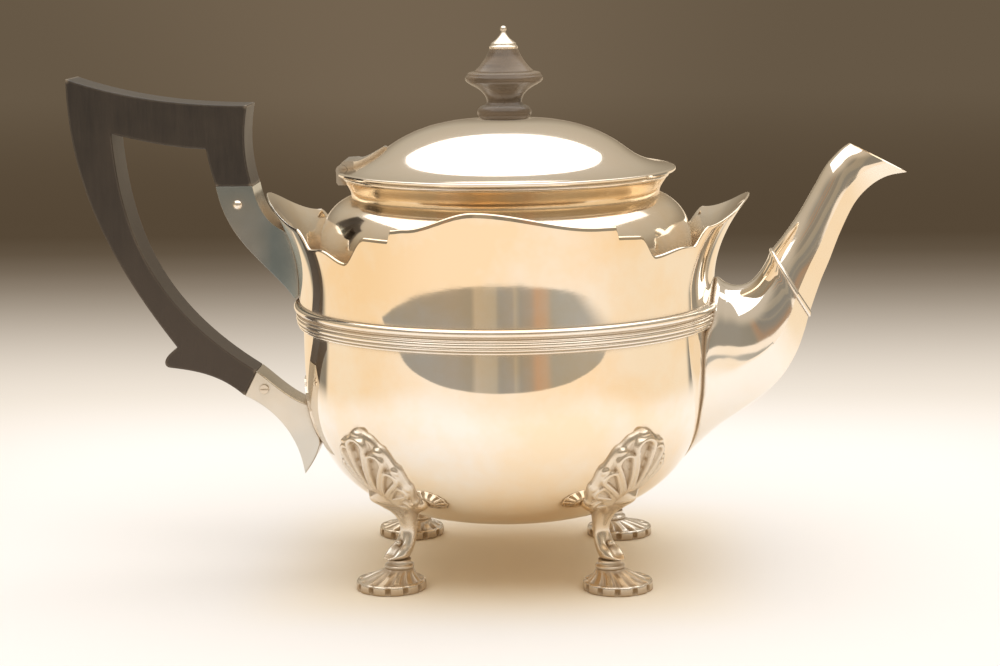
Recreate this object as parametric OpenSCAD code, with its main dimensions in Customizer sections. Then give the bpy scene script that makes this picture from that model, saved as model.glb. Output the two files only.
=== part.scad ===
// Silver teapot on four shell-knee legs, with an upstanding shaped gallery,
// a hinged domed lid, a panelled spout and an ebony handle in two sockets.
// Origin: on the bowl's axis, at the height of the table. +X to the spout, +Z up.

/* [Bowl and shoulder] */
// Outer radius of the bowl at its widest line
body_r = 63.8; // [62:0.2:66]
// Height of the bowl's underside above the table
base_z = 16.5; // [15:0.5:20]
// Depth of the curved bowl below its widest line
bowl_depth = 58.5; // [55:0.5:62]
// Fullness of the bowl's curve, 2 is an ellipse
bowl_fullness = 2.95; // [2.6:0.05:3.4]
// Height of the straight band between the widest line and the girdle
band_h = 6; // [5:0.5:8]
// Thickness of the silver sheet of bowl, shoulder and spout
wall = 1.2; // [0.9:0.1:1.5]
// How far the shoulder draws in from the bowl's widest line, inside the gallery
shoulder_in = 5.8; // [4.8:0.2:7.8]
// Height of the shoulder, from the girdle to the foot of the neck
shoulder_h = 36.4; // [35:0.2:39]
// How far the neck draws in from the bowl's widest line
neck_in = 15.8; // [14.8:0.2:17.8]
// Height of the flaring neck
neck_h = 5.4; // [5:0.2:7]
// Outward flare of the neck at its top
neck_flare = 2.4; // [2:0.1:3]
// Height of the wire round the mouth
rim_h = 1.7; // [1.3:0.1:2.2]

/* [Strainer] */
// Diameter of each strainer hole behind the spout
strainer_d = 2.6; // [2:0.1:3]
// Distance between neighbouring strainer holes
strainer_pitch = 4.6; // [4.4:0.1:5.2]
// Height of the middle of the strainer below the girdle
strainer_drop = 20; // [18:1:24]

/* [Girdle and gallery] */
// Height of the reeded girdle
girdle_h = 7.4; // [6.4:0.2:8.4]
// Thickness of the girdle's flat strip under its reeds
girdle_strip = 1.7; // [1.5:0.1:2.2]
// Thickness of the gallery's sheet
gallery_t = 1.1; // [0.9:0.1:1.4]
// Height of the gallery's pointed ends above the girdle's middle line
gallery_tip_h = 37.2; // [35:0.2:39]
// How much lower the gallery is cut beside the spout
gallery_dip = 1; // [0:0.2:3]
// How far the pointed end beside the spout leans outward
gallery_flare = 12; // [9:0.5:14]
// How far the pointed end beside the handle leans outward
gallery_rear_flare = 10.2; // [9:0.5:14]

/* [Lid] */
// How far the lid's brim reaches beyond the mouth
lid_over = 2.6; // [1.6:0.2:3.6]
// Thickness of the brim's edge
brim_t = 1.2; // [1:0.1:1.6]
// Height of the lid's dome above the brim
dome_h = 14.9; // [13.5:0.2:17]
// Thickness of the lid's sheet
lid_t = 1; // [0.8:0.1:1.3]
// Depth of the bezel ring inside the mouth
bezel_h = 5.9; // [4:0.1:7]
// Thickness of the bezel ring
bezel_t = 1.1; // [0.9:0.1:1.5]
// Gap between the bezel and the neck
bezel_gap = 0.5; // [0.4:0.05:0.8]

/* [Hinge] */
// Width of the hinge across the pot
hinge_w = 17.6; // [14:0.4:20]
// Radius of the hinge knuckles
knuckle_r = 1.8; // [1.6:0.1:2]
// Radius of the hinge pin
pin_r = 0.8; // [0.6:0.05:0.9]
// Width of the lid's middle knuckle
mid_knuckle_w = 6; // [4:0.5:8]
// Length of the strap that lies up the lid
strap_len = 13.4; // [12:0.2:15]
// Thickness of the strap at its tip
strap_t = 1.1; // [0.9:0.1:1.6]

/* [Finial] */
// Height of the ebony finial
finial_h = 21.6; // [19:0.3:24]
// Radius of the finial's broad disc
finial_r = 12.2; // [10:0.2:14]
// Height of the silver tip
tip_h = 7.2; // [6:0.2:9]
// Radius of the stud through finial and lid
stud_r = 1.45; // [1.2:0.05:1.6]
// Across corners size of the nut under the lid
nut_d = 7.6; // [6.6:0.2:9]
// Height of the nut
nut_h = 2.2; // [1.8:0.1:3]

/* [Spout] */
// How far the spout's lip reaches beyond the bowl's side
spout_reach = 60.3; // [57:0.1:63]
// Height of the spout's mouth above the girdle's middle line
spout_rise = 51.2; // [48:0.1:54]
// Half width of the spout where it meets the bowl
spout_root_w = 16; // [14:0.5:17]
// Half width of the spout at its seam
spout_seam_w = 9.8; // [9:0.2:11]
// Half width of the spout at its mouth
spout_mouth_w = 6; // [5.4:0.2:7]
// How far the seam's ridge stands out
seam_out = 0.8; // [0.5:0.1:1.2]

/* [Handle] */
// How far the handle's top corner reaches beyond the bowl's side
handle_reach = 71.8; // [68:0.2:75]
// Height of that corner above the girdle's middle line
handle_rise = 73.8; // [71:0.2:77]
// Thickness of the ebony handle at its top
handle_t = 16.6; // [15:0.2:18]
// Thickness of the handle at its lower joint
handle_low_t = 13; // [12:0.2:14]
// Depth of each tenon in its socket
tenon_len = 9; // [7:0.5:10]
// Wall of the silver sockets
socket_wall = 1.2; // [1:0.1:1.5]
// Radius of the rivet and the screw through the sockets
fixing_r = 0.9; // [0.8:0.05:1]
// Radius of the heads of rivet and screw
fixing_head_r = 1.4; // [1.3:0.05:1.6]
// Half width of the plate behind the lower socket
backplate_w = 9; // [8:0.5:11]
// Thickness of that plate
backplate_t = 0.8; // [0.6:0.1:1.2]

/* [Legs and feet] */
// How far each foot's neck is inside the bowl's widest line
leg_in = 18.2; // [16.8:0.2:19.8]
// Length of the shell's middle flute up the bowl
shell_len = 27; // [25:0.5:29]
// Thickness of the shell's flutes
shell_t = 2.3; // [1.8:0.1:2.8]
// Half width of the leg at its thinnest
shin_w = 3.2; // [2.8:0.1:4]
// Radius of the scalloped pad
pad_r = 10.7; // [9.5:0.1:12]
// How far the pad sits outward of its neck
pad_shift = 3.4; // [2.5:0.1:4]
// Height of the pad's side wall
pad_wall_h = 2.6; // [2:0.1:3.2]
// Height of the whole foot under the leg
foot_h = 8.6; // [8:0.1:9.5]
// Number of scallops round the pad
pad_lobes = 12; // [10:1:14]

/* [Hidden] */

silver = "Silver";
ebony = "#33291f";
fine = 96;
fit = 0.03;
slip = 0.1;
touch = 0.05;
shell_gap = 0.2;
seat_gap = 0.2;
beyond = 1;

widest_z = base_z + bowl_depth;
girdle_z = widest_z + band_h;
girdle_top = girdle_z + girdle_h / 2;
shoulder_r = body_r - shoulder_in;
neck_r = body_r - neck_in;
neck_z = girdle_z + shoulder_h;
neck_top = neck_z + neck_h;
mouth_z = neck_top + rim_h;
brim_z = mouth_z + brim_t;
dome_z = brim_z + dome_h;
mouth_r = neck_r + neck_flare;
lid_r = mouth_r + lid_over;
leg_r = body_r - leg_in;
rim_out = 0.6;
seat_r = 8.4;
tip_z = dome_z + finial_h;
bezel_r = neck_r - wall - bezel_gap;
hinge_x = -(mouth_r - 0.2);
hinge_z = brim_z;
hinge_notch_w = hinge_w + 0.2;

// ---- curves ----

function mix(a, b, t) = a + (b - a) * t;
function clamp01(t) = min(1, max(0, t));
function ease(t) = let (c = clamp01(t)) c * c * (3 - 2 * c);
function bezier(p, t) =
    let (s = 1 - t)
    s * s * s * p[0] + 3 * s * s * t * p[1] + 3 * s * t * t * p[2] + t * t * t * p[3];
function curve(p, n, skip = 0) = [for (i = [skip:n]) bezier(p, i / n)];
// A curve between two corners, leaving a by the arm u and reaching b by the arm v
function between(a, u, v, b, n, skip = 0) = curve([a, a + u, b + v, b], n, skip);
function reversed(p) = [for (i = [len(p) - 1:-1:0]) p[i]];
function unit(v) = v / norm(v);
// A path moved sideways by d, to the left of its own direction
function beside(p, d) = [
    for (i = [0:len(p) - 1])
        let (t = unit(p[min(i + 1, len(p) - 1)] - p[max(i - 1, 0)]))
        p[i] + d * [-t[1], t[0]]
];
function catmull(a, b, c, d, t) =
    0.5 * (2 * b + (c - a) * t + (2 * a - 5 * b + 4 * c - d) * t * t
        + (3 * b - a - 3 * c + d) * t * t * t);
// A smooth run through a list of rows, at row number t
function through(rows, t) =
    let (n = len(rows) - 1, i = min(n - 1, max(0, floor(t))), f = t - i)
    catmull(rows[max(0, i - 1)], rows[i], rows[i + 1], rows[min(n, i + 2)], f);

// ---- bodies made of rings of points ----

function strip(a, b, n, flip) = [
    for (k = [0:n - 1])
        let (m = (k + 1) % n)
        each flip
            ? [[a + k, b + m, a + m], [a + k, b + k, b + m]]
            : [[a + k, a + m, b + m], [a + k, b + m, b + k]]
];

// A solid through a list of rings, with flat ends
module loft(rings, flip = false) {
    n = len(rings[0]);
    last = (len(rings) - 1) * n;
    ends = [[for (k = [n - 1:-1:0]) k], [for (k = [0:n - 1]) last + k]];
    polyhedron(
        points = [for (r = rings) each r],
        faces = concat(
            flip ? [for (f = ends) reversed(f)] : ends,
            [for (i = [0:len(rings) - 2]) each strip(i * n, (i + 1) * n, n, flip)]
        ),
        convexity = 8
    );
}

// A tube between an outer and an inner list of rings
module sleeve(outer, inner, flip = false) {
    n = len(outer[0]);
    rows = len(outer);
    inside = rows * n;
    polyhedron(
        points = concat([for (r = outer) each r], [for (r = inner) each r]),
        faces = concat(
            [for (i = [0:rows - 2]) each strip(i * n, (i + 1) * n, n, flip)],
            [for (i = [0:rows - 2])
                each strip(inside + i * n, inside + (i + 1) * n, n, !flip)],
            strip(0, inside, n, !flip),
            strip(inside - n, inside + (rows - 1) * n, n, flip)
        ),
        convexity = 8
    );
}

// ---- bowl and shoulder ----

function bowl_arc(r, depth, n = 24) = [
    for (i = [0:n])
        let (a = 90 * i / n)
        [r * pow(cos(a), 2 / bowl_fullness), widest_z - depth * pow(sin(a), 2 / bowl_fullness)]
];
// Outer radius of the bowl at height z
function bowl_r(z) =
    let (d = clamp01((widest_z - z) / bowl_depth))
    body_r * pow(1 - pow(d, bowl_fullness), 1 / bowl_fullness);

// The bowl's outer profile moved outward, without its middle point
function bowl_side(out) = [
    for (p = bowl_arc(body_r, bowl_depth)) if (p[0] > beyond) p + [out, 0]
];

hip_z = girdle_z + 19;
shoulder_path = concat(
    curve([[body_r, girdle_z], [body_r, girdle_z + 6], [shoulder_r, hip_z - 9], [shoulder_r, hip_z]], 8),
    curve([[shoulder_r, hip_z], [shoulder_r, hip_z + 8.5],
        [neck_r + 7.8, neck_z - 3.2], [neck_r, neck_z]], 10, 1)
);
neck_path = concat(
    shoulder_path,
    curve([[neck_r, neck_z], [neck_r - 0.3, neck_z + 1.6],
        [neck_r + 0.9, neck_z + 3.2], [mouth_r, neck_top]], 6, 1)
);

module strainer_holes() {
    rows = 2;
    for (row = [-rows:rows], col = [-rows:rows - abs(row) % 2])
        translate([body_r, (col + (abs(row) % 2) / 2) * strainer_pitch,
            girdle_z - strainer_drop + row * strainer_pitch * sin(60)])
            rotate([0, 90, 0])
                cylinder(d = strainer_d, h = 10, center = true, $fn = 24);
}

module bowl() {
    color(silver)
    difference() {
        rotate_extrude($fn = fine)
            polygon(concat(
                [[body_r, girdle_z]], bowl_arc(body_r, bowl_depth),
                reversed(bowl_arc(body_r - wall, bowl_depth - wall)), [[body_r - wall, girdle_z]]
            ));
        strainer_holes();
    }
}

module shoulder() {
    inner = beside(neck_path, wall);
    last = len(inner) - 1;
    color(silver)
    rotate_extrude($fn = fine)
        polygon(concat(
            neck_path,
            [[mouth_r - wall, neck_top]],
            reversed([for (i = [1:last - 1]) inner[i]]),
            [[body_r - wall, girdle_z]]
        ));
}

// The wire round the mouth, cut through where the hinge sits in it
module neck_rim() {
    color(silver)
    difference() {
        rotate_extrude($fn = fine)
            difference() {
                union() {
                    translate([mouth_r - wall, neck_top])
                        square([wall, rim_h]);
                    translate([mouth_r + rim_out - rim_h / 2, neck_top + rim_h / 2])
                        circle(d = rim_h, $fn = 24);
                }
                translate([0, mouth_z])
                    square([mouth_r * 2, rim_h]);
            }
        translate([-2 * mouth_r, -hinge_notch_w / 2, neck_top - beyond])
            cube([1.5 * mouth_r, hinge_notch_w, rim_h + 2 * beyond]);
    }
}

// ---- girdle and gallery ----

// Heights of the four reeds, from the top
reeds = [2.5, 1.9, 1.6, 1.4] * girdle_h / 7.4;
function above(i) = i == 0 ? 0 : reeds[i - 1] + above(i - 1);

module girdle() {
    color(silver)
    rotate_extrude($fn = fine)
        union() {
            translate([body_r, girdle_top - girdle_h])
                square([girdle_strip, girdle_h]);
            for (i = [0:3])
                translate([body_r + girdle_strip, girdle_top - above(i) - reeds[i] / 2])
                    intersection() {
                        circle(d = reeds[i], $fn = 24);
                        translate([0, -reeds[i]])
                            square([reeds[i], 2 * reeds[i]]);
                    }
        }
}

// The gallery's upper edge over one quarter: angle from the spout, share of the tip's height
edge_keys = [
    [0, 1], [24.5, 0.78], [29, 0.626], [34.2, 0.637], [45, 0.559], [51.6, 0.765],
    [59.4, 0.76], [60.4, 0.844], [67, 0.866], [85, 1.003], [90, 1.006]
];
edge_step = 2.3;
edge_angles = concat(
    [for (i = [0:len(edge_keys) - 2])
        let (a = edge_keys[i][0], b = edge_keys[i + 1][0], n = ceil((b - a) / edge_step))
        for (k = [0:n - 1]) mix(a, b, k / n)],
    [90]
);
last_angle = len(edge_angles) - 1;
round_angles = concat(
    [for (a = edge_angles) a],
    [for (i = [last_angle - 1:-1:0]) 180 - edge_angles[i]],
    [for (i = [1:last_angle]) 180 + edge_angles[i]],
    [for (i = [last_angle - 1:-1:1]) 360 - edge_angles[i]]
);
function quarter(a) = let (b = a % 180) b > 90 ? 180 - b : b;
function key_height(q, i = 0) =
    i >= len(edge_keys) - 2 || q <= edge_keys[i + 1][0]
        ? mix(edge_keys[i][1], edge_keys[i + 1][1],
            ease((q - edge_keys[i][0]) / (edge_keys[i + 1][0] - edge_keys[i][0])))
        : key_height(q, i + 1);
function edge_z(a) =
    girdle_z + gallery_tip_h * key_height(quarter(a))
        - (cos(a) > 0 ? gallery_dip * (1 - ease(quarter(a) / 24)) : 0);
gallery_r = body_r + touch;
flare_from = girdle_z + 9;
function flare_at(z) = pow(max(0, z - flare_from) / (girdle_z + gallery_tip_h - flare_from), 2);
function lean(a) =
    (cos(a) > 0 ? gallery_flare : gallery_rear_flare) * (1 - ease((quarter(a) - 11) / 34));
gallery_rows = [0, 0.2, 0.4, 0.6, 0.8, 1];
function gallery_ring(share, out) = [
    for (a = round_angles)
        let (z = mix(girdle_top, edge_z(a), share), r = gallery_r + out + flare_at(z) * lean(a))
        [r * cos(a), r * sin(a), z]
];

module gallery() {
    color(silver)
    sleeve(
        [for (s = gallery_rows) gallery_ring(s, gallery_t)],
        [for (s = gallery_rows) gallery_ring(s, 0)]
    );
}

// The outer surface of the gallery near a pointed end, as a profile to turn
function gallery_outer(flare) = [
    for (i = [0:12])
        let (z = mix(girdle_top, girdle_z + gallery_tip_h, i / 12))
        [gallery_r + gallery_t + flare * flare_at(z), z]
];

// Everything that the spout and the sockets lie against
module body_outside(gap, flare) {
    edge = gallery_outer(flare);
    rotate_extrude($fn = fine)
        polygon(concat(
            [[0, base_z], [0, girdle_z + gallery_tip_h + beyond]],
            [[edge[12][0] + gap, girdle_z + gallery_tip_h + beyond]],
            [for (p = reversed(edge)) [p[0] + gap, p[1]]],
            [[body_r + girdle_strip + reeds[0] / 2 + gap, girdle_top],
             [body_r + girdle_strip + reeds[0] / 2 + gap, girdle_top - girdle_h]],
            bowl_side(gap)
        ));
}

// ---- spout ----

// Rows from the bowl to the mouth: top edge x, z, bottom edge x, z, half width,
// share of the lobed root. Lengths in x are from the bowl's side, in z from the girdle.
// The last five rows are placed from the mouth.
spout_rows = [
    [-3.5, 11.5, -13.5, -52.5, spout_root_w, 1],
    [1.7, 10, -5.3, -44, spout_root_w - 0.4, 0.9],
    [4.7, 8, 2.2, -37.3, spout_root_w - 1, 0.42],
    [7.7, 7, 9.7, -32.2, mix(spout_seam_w, spout_root_w, 0.65), 0.06],
    [10.7, 7.4, 16.7, -27.1, mix(spout_seam_w, spout_root_w, 0.5), 0],
    [13.2, 8.8, 22.4, -21.3, mix(spout_seam_w, spout_root_w, 0.35), 0],
    [15.7, 11.8, 26.7, -14, mix(spout_seam_w, spout_root_w, 0.2), 0],
    [17.5, 14.9, 29.2, -7, mix(spout_seam_w, spout_root_w, 0.08), 0],
    [18.8, 17.8, 30.7, -1.5, spout_seam_w, 0],
    [22.9, 23.1, 34, 8.3, mix(spout_mouth_w, spout_seam_w, 0.58), 0],
    [27.3, 29.6, 36.8, 15.2, mix(spout_mouth_w, spout_seam_w, 0.36), 0],
    [spout_reach - 28.9, spout_rise - 14.3, spout_reach - 20.2, spout_rise - 27.3,
        mix(spout_mouth_w, spout_seam_w, 0.2), 0],
    [spout_reach - 24.8, spout_rise - 7, spout_reach - 16, spout_rise - 18.6,
        mix(spout_mouth_w, spout_seam_w, 0.1), 0],
    [spout_reach - 21.7, spout_rise - 3.3, spout_reach - 11.3, spout_rise - 13.3,
        spout_mouth_w, 0],
    [spout_reach - 19.7, spout_rise - 1.4, spout_reach - 6.1, spout_rise - 10.2,
        spout_mouth_w, 0],
    [spout_reach - 17.7, spout_rise, spout_reach, spout_rise - 9, spout_mouth_w, 0]
];
seam_row = 8;
mouth_row = len(spout_rows) - 1;
panel_points = 4;
corner = tan(22.5);
// Corners of one side of the section, as shares of half width and half height
octagon = [[corner, 1], [1, corner], [1, -corner], [corner, -1]];
root_cusps = [[0.38, 1], [0.42, 0.58], [0.75, -0.09], [0.42, -0.58]];
root_bulge = [[0.31, 0], [0.75, 0], [0.66, 0]];

function side_corner(i, root) = mix(octagon[i], root_cusps[i], root);
// One side of the section, from its top corner to its bottom corner
function side_points(root) = [
    for (i = [0:2], k = [0:panel_points - 1])
        let (s = k / panel_points)
        mix(side_corner(i, root), side_corner(i + 1, root), s)
            + root_bulge[i] * root * sin(180 * s)
];
function keel_points(root) = [
    for (k = [0:panel_points])
        let (s = k / panel_points, c = side_corner(3, root))
        [mix(c[0], -c[0], s), c[1] - (1 + root_cusps[3][1]) * root * (1 - abs(1 - 2 * s))]
];
function spout_section(root) =
    let (side = side_points(root))
    concat(side, keel_points(root), [for (i = [len(side) - 1:-1:0]) [-side[i][0], side[i][1]]]);

function spout_ring(t, inset) =
    let (
        r = through(spout_rows, t),
        top = [body_r + r[0], girdle_z + r[1]],
        bottom = [body_r + r[2], girdle_z + r[3]],
        middle = (top + bottom) / 2,
        up = (top - bottom) / 2,
        reach = up * (1 - inset / norm(up)),
        w = r[4] - inset
    )
    [for (p = spout_section(clamp01(r[5])))
        [middle[0] + reach[0] * p[1], w * p[0], middle[1] + reach[1] * p[1]]];

function spout_rings(from, to, n, inset) =
    [for (i = [0:n]) spout_ring(mix(from, to, i / n), inset)];

module spout_lower() {
    color(silver)
    difference() {
        sleeve(spout_rings(0, seam_row, 14, 0), spout_rings(0, seam_row, 14, wall));
        body_outside(seat_gap, gallery_flare);
    }
}

module spout_upper() {
    color(silver)
    sleeve(
        spout_rings(seam_row, mouth_row, 14, 0),
        spout_rings(seam_row, mouth_row, 14, wall)
    );
}

module spout_seam() {
    half = 0.12;
    color(silver)
    sleeve(
        [spout_ring(seam_row - half, -touch), spout_ring(seam_row, -seam_out),
            spout_ring(seam_row + half, -touch)],
        [spout_ring(seam_row - half, -touch / 2), spout_ring(seam_row, -touch / 2),
            spout_ring(seam_row + half, -touch / 2)]
    );
}

// ---- handle and sockets, drawn from the side ----
// Lengths in x are outward from the bowl's side, in z from the girdle.

function beside_bowl(p) = [for (q = p) [-body_r - q[0], girdle_z + q[1]]];

handle_tip = [handle_reach, handle_rise];
handle_corner = [15.3, handle_rise - 8.7];
upper_joint = [[14.4, 40], [25.8, 40]];
inner_corner = [28.6, handle_rise - 22.1];
grip_corner = handle_tip - [13.9, 17.2];
lower_joint = [[15, -18.4], [19.1, -26.4]];
spur = [42.1, -17.4];
spur_notch = [39.8, -11];

handle_outline = beside_bowl(concat(
    between(handle_tip, [-19.6, -6.9], [16.9, 0.1], handle_corner, 8),
    between(handle_corner, [1.8, -8.6], [2.4, 8], upper_joint[0], 6, 1),
    between(upper_joint[1], [1.6, 5], [-0.6, -3.7], inner_corner, 4),
    between(inner_corner, [9.6, 0.3], [-9.7, -2.4], grip_corner, 6, 1),
    between(grip_corner, [-1.7, -27.6], [34.2, 21.4], lower_joint[0], 14, 1),
    [lower_joint[1]],
    between(lower_joint[1], [6.1, 5.4], [-10.9, -1.2], spur, 6, 1),
    between(spur, [3.1, 0.2], [4.8, -2.6], spur_notch, 5, 1),
    between(spur_notch, [22.4, 30], [0.2, -29.8], handle_tip, 14, 1)
));

// Side faces of the handle and its lower socket, closing in towards the bottom
module tapered_sides(spare = 0) {
    low_z = girdle_z + lower_joint[1][1];
    high_z = girdle_z + upper_joint[0][1];
    slope = (handle_t - handle_low_t) / 2 / (high_z - low_z);
    foot = handle_low_t / 2 - spare - slope * low_z;
    rotate([90, 0, -90])
        linear_extrude(height = 6 * body_r, center = true)
            polygon([
                [-foot, 0], [foot, 0],
                [handle_t / 2 - spare, high_z], [handle_t / 2 - spare, 3 * girdle_z],
                [spare - handle_t / 2, 3 * girdle_z], [spare - handle_t / 2, high_z]
            ]);
}

module side_plate(outline, thick) {
    rotate([90, 0, 0])
        linear_extrude(height = thick, center = true)
            polygon(outline);
}

// A tenon or its pocket: from a joint line into the socket
function tenon_outline(joint, dir, inset, depth) =
    let (a = joint[0], b = joint[1], along = unit(b - a))
    beside_bowl([
        a + along * inset - dir * beyond, b - along * inset - dir * beyond,
        b - along * inset + dir * depth, a + along * inset + dir * depth
    ]);
upper_dir = unit([-0.32, -1]);
lower_dir = unit([-0.82, -0.57]);
tenon_slack = fit;

module tenons(inset, depth) {
    intersection() {
        union() {
            side_plate(tenon_outline(upper_joint, upper_dir, inset, depth), handle_t);
            side_plate(tenon_outline(lower_joint, lower_dir, inset, depth), handle_t);
        }
        tapered_sides(inset);
    }
}

rivet_at = beside_bowl([[19.2, 34.3]])[0];
screw_at = beside_bowl([[12.7, -24.2]])[0];

module cross_pin(at, r, length) {
    translate([at[0], 0, at[1]])
        rotate([90, 0, 0])
            cylinder(r = r, h = length, center = true, $fn = 32);
}

module handle() {
    color(ebony)
    difference() {
        union() {
            intersection() {
                side_plate(handle_outline, 2 * handle_t);
                tapered_sides();
            }
            tenons(socket_wall + tenon_slack, tenon_len - tenon_slack);
        }
        cross_pin(rivet_at, fixing_r + fit, 2 * handle_t);
        cross_pin(screw_at, fixing_r + fit, 2 * handle_t);
    }
}

upper_socket_outline = beside_bowl(concat(
    [[0, girdle_h / 2], [0, 25.5]],
    [[4.2, 25.5]],
    between([5.4, 26.2], [4.3, 1.8], [-1.2, -7], upper_joint[0], 6),
    between(upper_joint[1], [-1.6, -10.5], [6.5, 6.8], [12.7, 16.2], 8),
    curve([[12.7, 16.2], [7.2, 10.5], [3.7, 7], [2.1, girdle_h / 2]], 6, 1)
));
tail_tip = [0.6, -51.7];
lower_socket_outline = beside_bowl(concat(
    [[-8, -29.4]],
    between([-1.3, -29.4], [6.5, 1.9], [-4.8, -3.6], lower_joint[0], 8),
    between(lower_joint[1], [-6.9, -3.1], [2.1, 15.2], tail_tip, 10),
    between(tail_tip, [-3.4, 4.2], [-0.2, -5.5], [-4.9, -37], 5, 1),
    [[-8, -36]]
));

module upper_socket() {
    color(silver)
    difference() {
        intersection() {
            side_plate(upper_socket_outline, 2 * handle_t);
            tapered_sides();
        }
        body_outside(seat_gap, gallery_rear_flare);
        tenons(socket_wall, tenon_len);
        cross_pin(rivet_at, fixing_r + fit, 2 * handle_t);
    }
}

module lower_socket() {
    color(silver)
    difference() {
        intersection() {
            side_plate(lower_socket_outline, 2 * handle_t);
            tapered_sides();
        }
        rotate_extrude($fn = fine)
            polygon(concat(
                [[0, base_z], [0, girdle_z]],
                bowl_side(backplate_t)
            ));
        tenons(socket_wall, tenon_len);
        cross_pin(screw_at, fixing_r + fit, 2 * handle_t);
    }
}

// Leaf-shaped plate that carries the lower socket on the bowl
module lower_socket_plate() {
    bottom = girdle_z - 45;
    top = girdle_z - 21;
    middle = (top + bottom) / 2;
    color(silver)
    intersection() {
        rotate_extrude($fn = fine)
            polygon(concat(bowl_side(0), reversed(bowl_side(backplate_t))));
        rotate([90, 0, -90])
            linear_extrude(height = 2 * body_r)
                polygon(concat(
                    curve([[0, bottom], [backplate_w * 0.7, bottom + 4],
                        [backplate_w, middle - 4], [backplate_w, middle + 2]], 8),
                    curve([[backplate_w, middle + 2], [backplate_w, top], [3, top], [0, top]], 8, 1),
                    curve([[0, top], [-3, top], [-backplate_w, top], [-backplate_w, middle + 2]], 8, 1),
                    curve([[-backplate_w, middle + 2], [-backplate_w, middle - 4],
                        [-backplate_w * 0.7, bottom + 4], [0, bottom]], 8, 1)
                ));
    }
}

// A pin through a socket with a domed head at each end
module upper_rivet() {
    head_h = 0.9;
    color(silver) {
        cross_pin(rivet_at, fixing_r, handle_t);
        for (side = [-1, 1])
            translate([rivet_at[0], side * handle_t / 2, rivet_at[1]])
                rotate([-90 * side, 0, 0])
                    rotate_extrude($fn = 32)
                        intersection() {
                            square([fixing_head_r, head_h]);
                            translate([0, head_h - fixing_head_r * 1.25])
                                circle(r = fixing_head_r * 1.25, $fn = 48);
                        }
    }
}

// A screw with a slotted head on one side and a plain end on the other
module lower_screw() {
    head_h = 0.8;
    slot_w = 0.5;
    slope = (handle_t - handle_low_t) / 2 / (upper_joint[0][1] - lower_joint[1][1]);
    half = handle_low_t / 2 + slope * (screw_at[1] - girdle_z - lower_joint[1][1]);
    color(silver)
    difference() {
        union() {
            cross_pin(screw_at, fixing_r, 2 * half);
            translate([screw_at[0], -half - head_h / 2, screw_at[1]])
                rotate([90, 0, 0])
                    cylinder(r = fixing_head_r, h = head_h, center = true, $fn = 32);
        }
        translate([screw_at[0], -half - head_h, screw_at[1]])
            cube([2 * fixing_head_r, head_h, slot_w], center = true);
    }
}

// ---- lid ----

dome_path = concat(
    curve([[seat_r, dome_z], [seat_r + 12.1, dome_z], [lid_r - 22.5, brim_z + dome_h * 0.76],
        [lid_r - 15.5, brim_z + dome_h * 0.39]], 14),
    curve([[lid_r - 15.5, brim_z + dome_h * 0.39], [lid_r - 12.2, brim_z + dome_h * 0.215],
        [lid_r - 8, brim_z + dome_h * 0.06], [lid_r - 0.6, brim_z]], 8, 1)
);
dome_rows = 14;

module dome_outside() {
    rotate_extrude($fn = fine)
        polygon(concat([[0, mouth_z], [0, dome_z]], dome_path, [[lid_r - 0.6, mouth_z]]));
}

hinge_notch_x = hinge_x + knuckle_r + 0.2;
chord_gap = 0.1;

module lid_dome() {
    inner = beside([for (i = [0:dome_rows]) dome_path[i]], -lid_t);
    color(silver)
    difference() {
        rotate_extrude($fn = fine)
            polygon(concat(
                [[stud_r + fit, dome_z]], dome_path,
                [[lid_r, brim_z - brim_t * 0.3], [lid_r, brim_z - brim_t * 0.7],
                    [lid_r - 0.5, mouth_z], [bezel_r - bezel_t - 0.1, mouth_z]],
                reversed(inner), [[stud_r + fit, dome_z - lid_t]]
            ));
        translate([hinge_notch_x - 10, -hinge_w / 2 - 0.4, mouth_z - beyond])
            cube([10, hinge_w + 0.8, 10]);
        translate([hinge_x + chord_gap - 10, -lid_r, mouth_z - beyond])
            cube([10, 2 * lid_r, 10]);
    }
}

module lid_bezel() {
    color(silver)
    translate([0, 0, mouth_z - bezel_h])
        difference() {
            cylinder(r = bezel_r, h = bezel_h, $fn = fine);
            translate([0, 0, -beyond])
                cylinder(r = bezel_r - bezel_t, h = bezel_h + 2 * beyond, $fn = fine);
        }
}

// ---- hinge ----

module along_y(r, from, to) {
    translate([hinge_x, from, hinge_z])
        rotate([-90, 0, 0])
            cylinder(r = r, h = to - from, $fn = 32);
}

module hinge_body_leaf() {
    inner_face = mid_knuckle_w / 2 + slip;
    color(silver)
    difference() {
        union() {
            for (side = [-1, 1])
                scale([1, side, 1])
                    along_y(knuckle_r, inner_face, hinge_w / 2);
            rotate([90, 0, 0])
                linear_extrude(height = hinge_w, center = true)
                    polygon([
                        [hinge_x - knuckle_r * 0.92, hinge_z - knuckle_r * 0.4],
                        [hinge_x - knuckle_r * 0.92, neck_top - 0.8],
                        [hinge_x - knuckle_r * 0.6, neck_top - 1.6],
                        [hinge_x + knuckle_r, neck_top - 1.6],
                        [hinge_x + knuckle_r, neck_top + 0.2],
                        [hinge_x + knuckle_r * 0.92, hinge_z - knuckle_r * 0.4]
                    ]);
        }
        along_y(pin_r + fit, -hinge_w, hinge_w);
        along_y(knuckle_r + slip, -inner_face, inner_face);
        rotate_extrude($fn = fine)
            polygon(concat(
                [[0, girdle_z]], neck_path, [[0, neck_top]]
            ));
        translate([hinge_x, -inner_face, hinge_z - knuckle_r - slip])
            cube([2 * knuckle_r, 2 * inner_face, 2 * knuckle_r]);
    }
}

module hinge_pin() {
    color(silver)
    along_y(pin_r, -hinge_w / 2, hinge_w / 2);
}

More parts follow.
